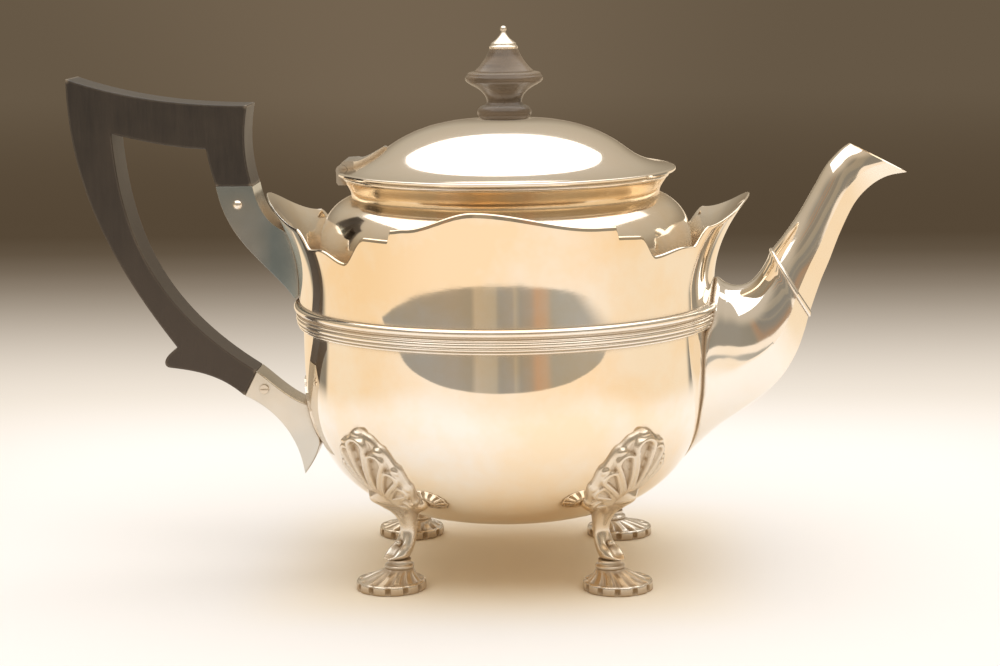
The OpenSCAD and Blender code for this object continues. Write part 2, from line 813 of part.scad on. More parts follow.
module hinge_lid_leaf() {
    tip_x = hinge_x + strap_len;
    tip_top = brim_z + dome_h * 0.39 + strap_t;
    block_z = hinge_z + knuckle_r + 1;
    color(silver)
    difference() {
        union() {
            along_y(knuckle_r, -mid_knuckle_w / 2, mid_knuckle_w / 2);
            intersection() {
                rotate([90, 0, 0])
                    linear_extrude(height = hinge_w, center = true)
                        polygon(concat(
                            [[hinge_x, hinge_z], [hinge_x, block_z - 0.4], [hinge_x + 0.4, block_z],
                                [hinge_x + 3.6, block_z + 0.2]],
                            curve([[hinge_x + 4.2, block_z], [hinge_x + 6, block_z],
                                [tip_x - 5, block_z + 1.6], [tip_x - 0.7, tip_top]], 8),
                            [[tip_x, tip_top - 0.4], [tip_x, mouth_z],
                                [hinge_notch_x, mouth_z + brim_t]]
                        ));
                linear_extrude(height = 2 * dome_z)
                    polygon([
                        [hinge_x, -hinge_w / 2], [hinge_x + 3.8, -hinge_w / 2],
                        [hinge_x + strap_len * 0.5, -hinge_w * 0.36], [tip_x, -hinge_w * 0.11],
                        [tip_x, hinge_w * 0.11], [hinge_x + strap_len * 0.5, hinge_w * 0.36],
                        [hinge_x + 3.8, hinge_w / 2], [hinge_x, hinge_w / 2]
                    ]);
            }
        }
        along_y(pin_r + fit, -hinge_w, hinge_w);
        for (side = [-1, 1])
            scale([1, side, 1])
                along_y(knuckle_r + slip, mid_knuckle_w / 2, hinge_w);
        intersection() {
            dome_outside();
            translate([hinge_notch_x, -lid_r, 0])
                cube([2 * lid_r, 2 * lid_r, 2 * dome_z]);
        }
    }
}

// ---- finial ----

torus_h = 4.3;
finial_neck = 5.4;
cap_r = 4.4;

module finial() {
    r = finial_r;
    z = finial_h;
    color(ebony)
    translate([0, 0, dome_z])
        rotate_extrude($fn = 64)
            difference() {
                union() {
                    translate([0, 0])
                        square([seat_r - torus_h / 2, torus_h]);
                    translate([seat_r - torus_h / 2, torus_h / 2])
                        circle(d = torus_h, $fn = 32);
                    polygon(concat(
                        [[0, 0], [finial_neck + 0.9, torus_h * 0.98], [finial_neck + 0.2, torus_h + 0.7]],
                        curve([[finial_neck, torus_h + 1], [finial_neck, z * 0.33],
                            [finial_neck + 1.4, z * 0.42], [r - 1.8, z * 0.5]], 8),
                        curve([[r - 1.2, z * 0.52], [r, z * 0.54],
                            [r + 0.2, z * 0.6], [r - 0.7, z * 0.635]], 5),
                        [[r - 0.8, z * 0.662], [r - 1.6, z * 0.675], [r - 3, z * 0.682]],
                        curve([[r - 3.1, z * 0.695], [r - 4.8, z * 0.76],
                            [cap_r + 1.4, z * 0.85], [cap_r, z]], 8),
                        [[0, z]]
                    ));
                }
                translate([0, -beyond])
                    square([stud_r + fit, z + 2 * beyond]);
            }
}

module finial_tip() {
    ball = 1;
    stud_below = lid_t + 0.8 + nut_h + 0.8;
    color(silver)
    translate([0, 0, tip_z])
        rotate_extrude($fn = 48)
            polygon(concat(
                [[0, -finial_h - stud_below], [stud_r, -finial_h - stud_below], [stud_r, 0],
                    [cap_r - 0.2, 0], [cap_r, 0.3], [cap_r, 0.8], [cap_r - 0.4, 1.2]],
                curve([[cap_r - 0.5, 1.8], [2.4, tip_h * 0.4], [1.3, tip_h * 0.5],
                    [ball * 0.7, tip_h - 1.9 * ball]], 8),
                [for (a = [-45:15:90]) [ball * cos(a), tip_h - ball + ball * sin(a)]]
            ));
}

washer_h = 0.8;

module finial_washer() {
    color(silver)
    translate([0, 0, dome_z - lid_t - washer_h])
        difference() {
            cylinder(r = nut_d / 2 + 1.2, h = washer_h, $fn = 48);
            translate([0, 0, -beyond])
                cylinder(r = stud_r + fit, h = washer_h + 2 * beyond, $fn = 48);
        }
}

module finial_nut() {
    color(silver)
    translate([0, 0, dome_z - lid_t - washer_h - nut_h])
        difference() {
            cylinder(d = nut_d, h = nut_h, $fn = 6);
            translate([0, 0, -beyond])
                cylinder(r = stud_r + fit / 2, h = nut_h + 2 * beyond, $fn = 48);
        }
}

// ---- legs: a fluted shell on the bowl, above a scrolled shin ----

// The flutes of one shell: direction from straight up, share of shell_len.
// The fan opens further towards the pot's open side than towards spout or handle.
flutes = [[-31, 0.6], [-16, 0.8], [0, 1], [22, 0.85], [41, 0.72], [58, 0.62], [78, 0.42]];
flute_points = 4;
shell_root_z = base_z + 11;
shell_rise = 0.84;
shell_rings = [0.14, 0.4, 0.62, 0.8, 0.93, 1];
last_flute = len(flutes) - 1;
function flute_edge(i) =
    i == 0 ? flutes[0][0] - 8
        : i > last_flute ? flutes[last_flute][0] + 10
        : (flutes[i - 1][0] + flutes[i][0]) / 2;
// Columns over the shell: direction, place across the flute from -1 to 1, share of length
shell_columns = concat(
    [for (i = [0:last_flute], k = [0:flute_points - 1])
        [mix(flute_edge(i), flute_edge(i + 1), k / flute_points), 2 * k / flute_points - 1,
            flutes[i][1]]],
    [[flute_edge(last_flute + 1), 1, flutes[last_flute][1]]]
);
function shell_reach(c) = shell_len * c[2] * (0.84 + 0.16 * sqrt(max(0, 1 - c[1] * c[1])));
function shell_height(c, s) =
    shell_t * (1 - 0.45 * s * s) * (1 - 0.3 * s * cos(360 * c[1] / 2))
        + (s < 1 ? 0.6 : -0.9);
function bowl_slope(z) = let (d = 0.5) (bowl_r(z + d) - bowl_r(z - d)) / (2 * d);
// A point over the bowl: up the bowl, sideways, and out from its surface
function over_bowl(up, side, out) =
    let (
        z = shell_root_z + up * shell_rise,
        n = unit([1, -bowl_slope(z)]),
        r = bowl_r(z) + out * n[0],
        a = side / bowl_r(z) * 180 / PI
    )
    [r * cos(a), r * sin(a), z + out * n[1]];
function shell_point(c, s, out) =
    over_bowl(shell_reach(c) * s * cos(c[0]), shell_reach(c) * s * sin(c[0]), out);

module shell() {
    n = len(shell_columns);
    rows = len(shell_rings);
    front = [for (s = shell_rings, c = shell_columns) shell_point(c, s, shell_height(c, s))];
    back = [for (s = shell_rings, c = shell_columns) shell_point(c, s, shell_gap)];
    under = rows * n;
    polyhedron(
        points = concat(front, back),
        faces = concat(
            [for (i = [0:rows - 2], k = [0:n - 2])
                let (a = i * n + k, b = a + 1, c = b + n, d = a + n)
                each [[a, c, b], [a, d, c], [under + a, under + b, under + c],
                    [under + a, under + c, under + d]]],
            [for (k = [0:n - 2])
                let (a = k, b = k + 1, c = under - n + k, d = c + 1)
                each [[a, under + b, under + a], [a, b, under + b],
                    [c, under + d, d], [c, under + c, under + d]]],
            [for (i = [0:rows - 2])
                let (a = i * n, b = a + n, c = a + n - 1, d = c + n)
                each [[a, under + b, b], [a, under + a, under + b],
                    [c, under + d, under + c], [c, d, under + d]]]
        ),
        convexity = 6
    );
}

// Rows down the shin: outer edge r, z, inner edge r, z, half width. The first two are
// placed from the bowl's side, the others from the foot's neck; z is from the foot's top.
shin_rows = [
    [body_r - 7.8, 23.4, body_r - 17.8, 19.4, shin_w * 1.9],
    [body_r - 10.1, 18.1, body_r - 23.8, 14.7, shin_w * 1.9],
    [leg_r + 3.4, 13.2, leg_r - 8.9, 11.2, shin_w * 1.45],
    [leg_r - 1, 9.2, leg_r - 9.6, 7.8, shin_w * 1.05],
    [leg_r - 2.4, 6.2, leg_r - 9, 4.4, shin_w],
    [leg_r - 1, 3.6, leg_r - 7.4, 1.3, shin_w * 1.15],
    [leg_r + 2, 2.2, leg_r - 4.1, -0.1, shin_w * 1.3],
    [leg_r + 4.7, 1.3, leg_r + 1.9, 0, shin_w * 0.9]
];
shin_sides = 12;
function shin_ring(t) =
    let (
        r = through(shin_rows, t),
        outer = [r[0], foot_h + r[1]],
        inner = [r[2], foot_h + r[3]],
        middle = (outer + inner) / 2,
        half = (outer - inner) / 2
    )
    [for (k = [0:shin_sides - 1])
        let (a = 360 * k / shin_sides)
        [middle[0] + half[0] * cos(a), r[4] * sin(a), middle[1] + half[1] * cos(a)]];

module shin() {
    bead_r = 1.1;
    steps = 14;
    difference() {
        union() {
            loft([for (i = [0:steps]) shin_ring((len(shin_rows) - 1) * i / steps)]);
            translate([leg_r - 1.6, 0, foot_h + 4.4])
                sphere(r = bead_r, $fn = 16);
        }
        rotate_extrude($fn = fine)
            polygon(concat([[0, base_z], [0, girdle_z]], bowl_side(touch)));
    }
}

// side is 1 or -1: which way round the pot the wide half of the fan opens
module leg_at(angle, side) {
    color(silver)
    rotate([0, 0, angle])
        scale([1, side, 1])
            difference() {
                union() {
                    shell();
                    shin();
                }
                translate([0, 0, -beyond])
                    cylinder(r = 2 * body_r, h = foot_h + beyond);
            }
}

module leg_spout_right() { leg_at(-45, -1); }
module leg_spout_left() { leg_at(45, 1); }
module leg_handle_right() { leg_at(-135, 1); }
module leg_handle_left() { leg_at(135, -1); }

// ---- feet: a scalloped pad under two rings ----

foot_neck_r = 3.3;
foot_ring_r = 4.4;

module foot_at(angle) {
    lobe_r = pad_r * sin(180 / pad_lobes) * 1.12;
    color(silver)
    rotate([0, 0, angle])
        translate([leg_r, 0, 0]) {
            intersection() {
                translate([pad_shift, 0, 0])
                    linear_extrude(height = foot_h)
                        union() {
                            circle(r = pad_r - lobe_r, $fn = 48);
                            for (i = [0:pad_lobes - 1])
                                rotate([0, 0, 360 * i / pad_lobes])
                                    translate([pad_r - lobe_r, 0])
                                        circle(r = lobe_r, $fn = 24);
                        }
                rotate_extrude($fn = 64)
                    polygon(concat(
                        [[0, 0], [pad_r + pad_shift + beyond, 0],
                            [pad_r + pad_shift + beyond, pad_wall_h * 0.85]],
                        curve([[pad_r + pad_shift, pad_wall_h * 0.9], [pad_r, pad_wall_h * 1.35],
                            [foot_ring_r + 2.4, foot_h * 0.44], [foot_ring_r, foot_h * 0.66]], 8),
                        [[0, foot_h * 0.66]]
                    ));
            }
            translate([0, 0, foot_h * 0.64])
                cylinder(r = foot_ring_r, h = foot_h * 0.2, $fn = 48);
            translate([0, 0, foot_h * 0.8])
                cylinder(r = foot_neck_r, h = foot_h * 0.2, $fn = 48);
        }
}

module foot_spout_right() { foot_at(-45); }
module foot_spout_left() { foot_at(45); }
module foot_handle_right() { foot_at(-135); }
module foot_handle_left() { foot_at(135); }

bowl();
shoulder();
neck_rim();
girdle();
gallery();
spout_lower();
spout_upper();
spout_seam();
upper_socket();
lower_socket();
lower_socket_plate();
handle();
upper_rivet();
lower_screw();
hinge_body_leaf();
hinge_pin();
hinge_lid_leaf();
lid_dome();
lid_bezel();
finial();
finial_tip();
finial_washer();
finial_nut();
leg_spout_right();
leg_spout_left();
leg_handle_right();
leg_handle_left();
foot_spout_right();
foot_spout_left();
foot_handle_right();
foot_handle_left();
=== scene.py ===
"""Looks of a silver teapot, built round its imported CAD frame.

Lengths are in mm and angles in degrees until a mesh is made. The frame is the CAD's:
origin on the bowl's axis at the height of the table, +X to the spout, +Z up.
"""

import math

import bmesh
import bpy
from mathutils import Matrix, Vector


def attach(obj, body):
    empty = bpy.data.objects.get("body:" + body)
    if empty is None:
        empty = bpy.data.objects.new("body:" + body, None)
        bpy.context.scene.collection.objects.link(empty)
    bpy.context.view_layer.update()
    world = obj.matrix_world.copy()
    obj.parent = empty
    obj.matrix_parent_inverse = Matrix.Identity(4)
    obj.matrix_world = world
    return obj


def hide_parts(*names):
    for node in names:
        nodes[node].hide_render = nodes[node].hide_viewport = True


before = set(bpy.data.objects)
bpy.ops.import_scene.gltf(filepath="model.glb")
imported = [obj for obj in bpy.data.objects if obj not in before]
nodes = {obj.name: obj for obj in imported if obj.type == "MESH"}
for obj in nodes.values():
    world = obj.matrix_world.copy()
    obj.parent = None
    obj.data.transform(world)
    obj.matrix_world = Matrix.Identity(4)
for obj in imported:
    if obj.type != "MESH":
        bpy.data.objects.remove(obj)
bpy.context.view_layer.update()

MM = 0.001
WELD = 0.002 * MM
SHARP = 32  # degrees between faces from which an edge is left sharp
POT, LID = "pot", "lid"

# sizes of the pot, as in the CAD
BODY_R = 63.8
BASE_Z = 16.5
BOWL_DEPTH = 58.5
FULLNESS = 2.95
WALL = 1.2
WIDEST_Z = BASE_Z + BOWL_DEPTH
GIRDLE_Z = WIDEST_Z + 6
GIRDLE_H = 7.4
GIRDLE_STRIP = 1.7
REED_REACH = 1.25
GIRDLE_TOP = GIRDLE_Z + GIRDLE_H / 2
SHOULDER_R = 58.0
NECK_R = 48.0
HIP_Z = GIRDLE_Z + 19
NECK_Z = GIRDLE_Z + 36.4
NECK_TOP = NECK_Z + 5.4
MOUTH_R = NECK_R + 2.4
RIM_H = 1.7
MOUTH_Z = NECK_TOP + RIM_H
BRIM_Z = MOUTH_Z + 1.2
LID_R = 53.0
DOME_H = 14.9
DOME_Z = BRIM_Z + DOME_H
LID_T = 1.0
BEZEL_IN = 44.9
HINGE_X = -(MOUTH_R - 0.2)
HINGE_HALF = 9.0
TIP_H = 37.2
GALLERY_R = BODY_R + 0.05
GALLERY_T = 1.1
FLARE_FROM = GIRDLE_Z + 9
FLARE_SPOUT, FLARE_HANDLE = 12.0, 10.2
LEAN_FULL, LEAN_FADE = 11, 34  # degrees from a point that lean as far as it, then fade
GAP = 0.2
HANDLE_T, HANDLE_LOW_T = 16.6, 13.0
LEG_R = 45.6
FOOT_H = 8.6
PAD_R, PAD_SHIFT, PAD_LOBES = 10.7, 3.4, 12


# ---- curves ----

def mix(a, b, t):
    return a + (b - a) * t


def mixed(a, b, t):
    return tuple(mix(p, q, t) for p, q in zip(a, b))


def clamp(t, low=0.0, high=1.0):
    return min(high, max(low, t))


def ease(t):
    c = clamp(t)
    return c * c * (3 - 2 * c)


def cosd(a):
    return math.cos(math.radians(a))


def sind(a):
    return math.sin(math.radians(a))


def curve(p, n, skip=0):
    """Points skip to n on one Bezier curve."""
    points = []
    for i in range(skip, n + 1):
        t = i / n
        s = 1 - t
        w = (s * s * s, 3 * s * s * t, 3 * s * t * t, t * t * t)
        points.append(tuple(sum(k * q[j] for k, q in zip(w, p)) for j in (0, 1)))
    return points


def beside(path, d):
    """A path moved sideways by d, to the left of its own direction."""
    moved = []
    for i, p in enumerate(path):
        a = path[max(i - 1, 0)]
        b = path[min(i + 1, len(path) - 1)]
        length = math.hypot(b[0] - a[0], b[1] - a[1])
        moved.append((p[0] - d * (b[1] - a[1]) / length, p[1] + d * (b[0] - a[0]) / length))
    return moved


def through(rows, t):
    """A smooth run through a list of rows, at row number t."""
    n = len(rows) - 1
    i = int(clamp(math.floor(t), 0, n - 1))
    f = t - i
    a, b, c, d = (rows[int(clamp(i + k, 0, n))] for k in (-1, 0, 1, 2))
    return [
        0.5 * (2 * q + (r - p) * f + (2 * p - 5 * q + 4 * r - s) * f * f
               + (3 * q - p - 3 * r + s) * f ** 3)
        for p, q, r, s in zip(a, b, c, d)
    ]


def arc(x, z, r, start, end, n):
    return [(x + r * cosd(mix(start, end, i / n)), z + r * sind(mix(start, end, i / n)))
            for i in range(n + 1)]


# ---- meshes ----

def placed(name, data):
    """A new object in the scene."""
    obj = bpy.data.objects.new(name, data)
    bpy.context.scene.collection.objects.link(obj)
    return obj


def piece(name, points, faces, material, body, replaced=(), crease=SHARP):
    """A finished object in the frame, from points in mm."""
    mesh = bpy.data.meshes.new(name)
    mesh.from_pydata([(x * MM, y * MM, z * MM) for x, y, z in points], [], faces)
    bm = bmesh.new()
    bm.from_mesh(mesh)
    bmesh.ops.remove_doubles(bm, verts=bm.verts, dist=WELD)
    bmesh.ops.recalc_face_normals(bm, faces=bm.faces)
    bm.to_mesh(mesh)
    bm.free()
    mesh.shade_smooth()
    mesh.set_sharp_from_angle(angle=math.radians(crease))
    mesh.materials.append(material)
    obj = placed(name, mesh)
    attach(obj, body)
    if replaced:
        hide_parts(*replaced)
    return obj


def grid(rows, columns, wrap_rows=False, wrap_columns=True, offset=0):
    """Quads over rows of points, joined round where they wrap."""
    faces = []
    for i in range(rows if wrap_rows else rows - 1):
        for k in range(columns if wrap_columns else columns - 1):
            a, b = i * columns, (i + 1) % rows * columns
            m = (k + 1) % columns
            faces.append(tuple(offset + v for v in (a + k, a + m, b + m, b + k)))
    return faces


def ends(rows, columns, offset=0):
    """The two faces that close the first and the last row."""
    last = offset + (rows - 1) * columns
    return [tuple(range(offset, offset + columns)), tuple(range(last, last + columns))]


def rings(name, rows, material, body, replaced=(), wrap_rows=True, caps=False, **more):
    """A body through closed rings of points: a tube wall, or with caps a solid."""
    n = len(rows[0])
    faces = grid(len(rows), n, wrap_rows=wrap_rows)
    if caps:
        faces += ends(len(rows), n)
    return piece(name, [p for row in rows for p in row], faces, material, body, replaced, **more)


def turned(name, profile, material, body, replaced=(), n=288, start=0, end=360, **more):
    """A closed profile of (r, z) turned about the pot's axis."""
    full = end - start >= 360
    angles = [start + (end - start) * k / n for k in range(n if full else n + 1)]
    points = [(r * cosd(a), r * sind(a), z) for a in angles for r, z in profile]
    faces = grid(len(angles), len(profile), wrap_rows=full)
    if not full:
        faces += ends(len(angles), len(profile))
    return piece(name, points, faces, material, body, replaced, **more)


def cut(obj, *boxes):
    """Takes boxes, each (low corner, high corner) in mm, out of an object."""
    for low, high in boxes:
        bm = bmesh.new()
        bmesh.ops.create_cube(bm, size=1)
        for v in bm.verts:
            v.co = Vector([mix(a, b, c + 0.5) * MM for a, b, c in zip(low, high, v.co)])
        mesh = bpy.data.meshes.new("cutter")
        bm.to_mesh(mesh)
        bm.free()
        subtract(obj, mesh)


def subtract(obj, mesh):
    """Takes a closed mesh out of an object, and keeps the result as its mesh."""
    cutter = placed("cutter", mesh)
    modifier = obj.modifiers.new("cut", "BOOLEAN")
    modifier.operation = "DIFFERENCE"
    modifier.solver = "EXACT"
    modifier.object = cutter
    bpy.context.view_layer.update()
    graph = bpy.context.evaluated_depsgraph_get()
    result = bpy.data.meshes.new_from_object(obj.evaluated_get(graph))
    obj.modifiers.remove(modifier)
    obj.data = result
    bpy.data.objects.remove(cutter)
    result.set_sharp_from_angle(angle=math.radians(SHARP))


# ---- materials ----

def new_material(name, slot):
    """A material with its record slot noted on it, its node tree and its shader."""
    material = bpy.data.materials.new(name)
    material.use_nodes = True
    material["slot"] = slot
    tree = material.node_tree
    return material, tree, tree.nodes["Principled BSDF"]


def add(tree, kind, inputs=None, **values):
    """A node, with its properties and its input values or links."""
    node = tree.nodes.new(kind)
    for key, value in values.items():
        setattr(node, key, value)
    for key, value in (inputs or {}).items():
        feed(tree, node.inputs[key], value)
    return node


def feed(tree, socket, value):
    """Links a socket to what it is fed, or sets it."""
    if isinstance(value, bpy.types.NodeSocket):
        tree.links.new(value, socket)
    else:
        socket.default_value = value


def ramp(tree, factor, stops):
    """A colour ramp over stops, each (place, grey or colour)."""
    node = add(tree, "ShaderNodeValToRGB", {"Fac": factor})
    elements = node.color_ramp.elements
    while len(elements) < len(stops):
        elements.new(0.5)
    for element, (place, colour) in zip(elements, sorted(stops, key=lambda s: s[0])):
        element.position = place
        element.color = (*colour, 1) if isinstance(colour, tuple) else (colour,) * 3 + (1,)
    return node.outputs["Color"]


def maths(tree, operation, a, b=0.0, c=0.0):
    node = add(tree, "ShaderNodeMath", operation=operation)
    for socket, value in zip(node.inputs, (a, b, c)):
        feed(tree, socket, value)
    return node.outputs[0]


def blend(tree, factor, a, b, mode="MIX"):
    """From a, where factor is 0, to b; a fixed colour is a tuple."""
    node = add(tree, "ShaderNodeMix", data_type="RGBA", blend_type=mode)
    for key, value in ((0, factor), (6, a), (7, b)):
        feed(tree, node.inputs[key], (*value, 1) if isinstance(value, tuple) else value)
    return node.outputs[2]


def noise(tree, where, scale, detail, rough, squash=(1, 1, 1)):
    """Noise at scale features a metre, drawn out along the axes that squash lowers."""
    mapped = add(tree, "ShaderNodeMapping", {"Vector": where, "Scale": squash})
    node = add(tree, "ShaderNodeTexNoise", {"Vector": mapped.outputs[0], "Scale": scale,
                                            "Detail": detail, "Roughness": rough})
    return node.outputs["Fac"]


def smooth_step(tree, value, low, high):
    """0 where the value is at low, 1 at high, and eased between."""
    node = add(tree, "ShaderNodeMapRange", {"Value": value, "From Min": low, "From Max": high},
               interpolation_type="SMOOTHSTEP")
    return node.outputs[0]


def finish(tree, shader, colour, gloss, height, strength):
    """Colour, roughness and a bump of height, in mm, on their way into the shader."""
    bump = add(tree, "ShaderNodeBump", {"Height": height, "Distance": MM, "Strength": strength})
    for key, value in (("Base Color", colour), ("Roughness", gloss), ("Normal", bump.outputs[0])):
        tree.links.new(value, shader.inputs[key])


SILVER_PALE = (0.955, 0.90, 0.82)
SILVER_WARM = (0.96, 0.785, 0.56)
# brown of the recesses: tarnish, with painted shade laid in the same recesses
TARNISH_AND_SHADE = (0.46, 0.335, 0.20)
# painted contact shade: the colour the silver is given near other surfaces
PAINTED_CONTACT_SHADE = (0.66, 0.50, 0.30)
BLUE_TARNISH = (0.27, 0.32, 0.32)
GILT = (0.90, 0.70, 0.44)
GILT_FADE = 3  # mm over which the gilding of the neck comes in
CONTACT_SHADE_REACH = 13  # mm from other surfaces within which the silver gets a painted contact shade
CLOUDS, BLOOMS, DENTS, WORN = 19, 30, 42, 55  # features a metre, as below
HAIRLINES, SWIRLS = 900, 1300
SCRATCH_DEPTH, DENT_DEPTH = 0.0005, 0.04  # mm
STREAKS, BROAD_GRAIN, PORES = 420, 55, 1500
# rubbed ebony edges, painted lighter also as a highlight along them
RUBBED_EDGE_HIGHLIGHT = (0.30, 0.24, 0.17)
# painted reflection of the floor: the colour of the handle's paler lower part, and the heights it
# fades over
PAINTED_FLOOR_REFLECTION, PAINTED_FLOOR_REFLECTION_Z = (0.072, 0.052, 0.036), (0.135, 0.065)


def silver(name, warmth, rough, haze, tarnish_and_shade=1.0, tarnish_shade_reach=2.2, wave=1.0, gold_above=None,
           recess=(0.30, 0.82), tint=1.0, blue=0.0):
    """Worn polished silver: warm clouds, hairline scratches, brown tarnish in the recesses with
    painted shade over it, and a painted contact shade near other surfaces.

    haze roughens its dull patches, tarnish_shade_reach and recess say which recesses are brown,
    wave scales the dents, and blue is the share of blue tarnish.
    """
    material, tree, shader = new_material(name, "silver")
    where = add(tree, "ShaderNodeTexCoord").outputs["Object"]
    cloud = noise(tree, where, CLOUDS, 5, 0.62)
    patch = maths(tree, "MULTIPLY", ramp(tree, cloud, [(0.40, 0.0), (0.62, 1.0)]), warmth)
    pale, warm = (tuple(tint * c for c in tone) for tone in (SILVER_PALE, SILVER_WARM))
    colour = blend(tree, patch, pale, warm)
    if gold_above:
        height = add(tree, "ShaderNodeSeparateXYZ", {"Vector": where}).outputs["Z"]
        gilt = smooth_step(tree, height, (gold_above - GILT_FADE) * MM, gold_above * MM)
        colour = blend(tree, maths(tree, "MULTIPLY", gilt, 0.8), colour, GILT)
    if blue:
        bloom = ramp(tree, noise(tree, where, BLOOMS, 2, 0.5), [(0.30, 0.0), (0.52, 1.0)])
        colour = blend(tree, maths(tree, "MULTIPLY", bloom, blue), colour, BLUE_TARNISH)
    # painted shade: the near reach browns and dulls the recesses over their tarnish, the far reach
    # paints contact shade near other surfaces
    near = add(tree, "ShaderNodeAmbientOcclusion", {"Distance": tarnish_shade_reach * MM}, samples=6)
    far = add(tree, "ShaderNodeAmbientOcclusion", {"Distance": CONTACT_SHADE_REACH * MM}, samples=6)
    line = ramp(tree, near.outputs["AO"], [(recess[0], 1.0), (recess[1], 0.0)])
    contact_shade = ramp(tree, far.outputs["AO"], [(0.10, 1.0), (0.62, 0.0)])
    colour = blend(tree, maths(tree, "MULTIPLY", contact_shade, 0.75 * tarnish_and_shade), colour, PAINTED_CONTACT_SHADE)
    colour = blend(tree, maths(tree, "MULTIPLY", line, 0.8 * tarnish_and_shade), colour, TARNISH_AND_SHADE)
    hair = noise(tree, where, HAIRLINES, 2, 0.6, (1, 1, 0.06))
    swirl = noise(tree, where, SWIRLS, 2, 0.6, (0.08, 1, 1))
    worn = noise(tree, where, WORN, 5, 0.7)
    dull = ramp(tree, worn, [(0.40, 0.0), (0.72, 1.0)])
    gloss = maths(tree, "MULTIPLY_ADD", dull, haze, rough)
    if gold_above:
        gloss = maths(tree, "MULTIPLY_ADD", gilt, 0.07, gloss)
    gloss = maths(tree, "MULTIPLY_ADD", contact_shade, 0.22 * tarnish_and_shade, gloss)
    gloss = maths(tree, "MULTIPLY_ADD", line, 0.25 * tarnish_and_shade, gloss)
    # the painted shade also lowers the metal, so shaded silver turns brown
    metal = maths(tree, "MULTIPLY_ADD", contact_shade, -0.45 * tarnish_and_shade, 1.0)
    metal = maths(tree, "MULTIPLY_ADD", line, -0.75 * tarnish_and_shade, metal)
    dents = noise(tree, where, DENTS, 2, 0.4)
    scratches = maths(tree, "MULTIPLY", maths(tree, "ADD", hair, swirl), SCRATCH_DEPTH)
    height = maths(tree, "MULTIPLY_ADD", dents, DENT_DEPTH * wave, scratches)
    tree.links.new(metal, shader.inputs["Metallic"])
    finish(tree, shader, colour, gloss, height, 1.0)
    return material


def ebony(name, dark, light, rough, grain, painted_floor_reflection=False):
    """Dark dense wood: fine streaks along the grain, open pores, dull polish, rubbed edges painted
    lighter as wear and as a painted highlight, and, where asked, a painted floor reflection low
    down.
    """
    material, tree, shader = new_material(name, "ebony")
    where = add(tree, "ShaderNodeTexCoord").outputs["Object"]
    streak = noise(tree, where, STREAKS, 5, 0.7, grain)
    broad = noise(tree, where, BROAD_GRAIN, 3, 0.5)
    pores = noise(tree, where, PORES, 2, 0.5, grain)
    colour = blend(tree, ramp(tree, streak, [(0.35, 0.0), (0.72, 1.0)]), dark, light)
    colour = blend(tree, ramp(tree, broad, [(0.45, 0.0), (0.8, 0.6)]), colour,
                   tuple(1.5 * c for c in light))
    # painted floor reflection: paler towards the bottom
    if painted_floor_reflection:
        height = add(tree, "ShaderNodeSeparateXYZ", {"Vector": where}).outputs["Z"]
        floor_reflection_zone = smooth_step(tree, height, *PAINTED_FLOOR_REFLECTION_Z)
        colour = blend(tree, maths(tree, "MULTIPLY", floor_reflection_zone, 0.85), colour, PAINTED_FLOOR_REFLECTION)
    # edges rubbed pale, and painted lighter also as a highlight
    edge = add(tree, "ShaderNodeAmbientOcclusion", {"Distance": 1.5 * MM}, samples=8, inside=True)
    wear_and_highlight = ramp(tree, edge.outputs["AO"], [(0.46, 0.7), (0.68, 0.0)])
    colour = blend(tree, wear_and_highlight, colour, RUBBED_EDGE_HIGHLIGHT)
    gloss = maths(tree, "MULTIPLY_ADD", broad, 0.14, rough)
    grooves = maths(tree, "MULTIPLY", streak, 0.03)
    pits = maths(tree, "MULTIPLY", ramp(tree, pores, [(0.3, 0.0), (0.45, 1.0)]), 0.02)
    height = maths(tree, "ADD", grooves, pits)
    finish(tree, shader, colour, gloss, height, 0.6)
    return material


body_silver = silver("silver_body", warmth=0.95, rough=0.02, haze=0.025)
shoulder_silver = silver("silver_shoulder", warmth=0.7, rough=0.09, haze=0.10, gold_above=NECK_Z)
wire_silver = silver("silver_wire", warmth=0.5, rough=0.12, haze=0.08, tarnish_and_shade=0.9, tarnish_shade_reach=1.2)
lid_silver = silver("silver_lid", warmth=0.3, rough=0.07, haze=0.05, tarnish_and_shade=0.5)
cast_silver = silver("silver_cast", warmth=0.7, rough=0.19, haze=0.10, tarnish_and_shade=1.3, tarnish_shade_reach=4.5,
                     wave=1.2, recess=(0.5, 0.97), tint=0.89)
spout_silver = silver("silver_spout", warmth=0.45, rough=0.05, haze=0.05, tarnish_shade_reach=3.4)
socket_silver = silver("silver_socket", warmth=0.6, rough=0.12, haze=0.08, wave=0.5, tint=0.84,
                       blue=0.25)
blued_silver = silver("silver_blued", warmth=0.8, rough=0.10, haze=0.08, wave=0.5, tint=0.62,
                      blue=0.9)
hinge_silver = silver("silver_hinge", warmth=0.7, rough=0.26, haze=0.1, tarnish_and_shade=1.2, tarnish_shade_reach=1.6,
                      recess=(0.5, 0.95), tint=0.5)
handle_wood = ebony("ebony_handle", (0.021, 0.0145, 0.0095), (0.040, 0.029, 0.019), 0.36,
                    (1, 1, 0.10), painted_floor_reflection=True)
finial_wood = ebony("ebony_finial", (0.095, 0.066, 0.040), (0.20, 0.147, 0.097), 0.20,
                    (0.12, 0.12, 1))


# ---- bowl, shoulder, neck ----

def bowl_arc(r, depth, n=84):
    """A quarter of a squared ellipse, from its widest point down to the axis."""
    points = []
    for i in range(n + 1):
        a = 90 * ease(i / n)
        points.append((max(0.02, r * max(0, cosd(a)) ** (2 / FULLNESS)),
                       WIDEST_Z - depth * sind(a) ** (2 / FULLNESS)))
    return points


def bowl_r(z):
    """The bowl's outer radius at height z."""
    d = clamp((WIDEST_Z - z) / BOWL_DEPTH)
    return BODY_R * max(0.0, 1 - d ** FULLNESS) ** (1 / FULLNESS)


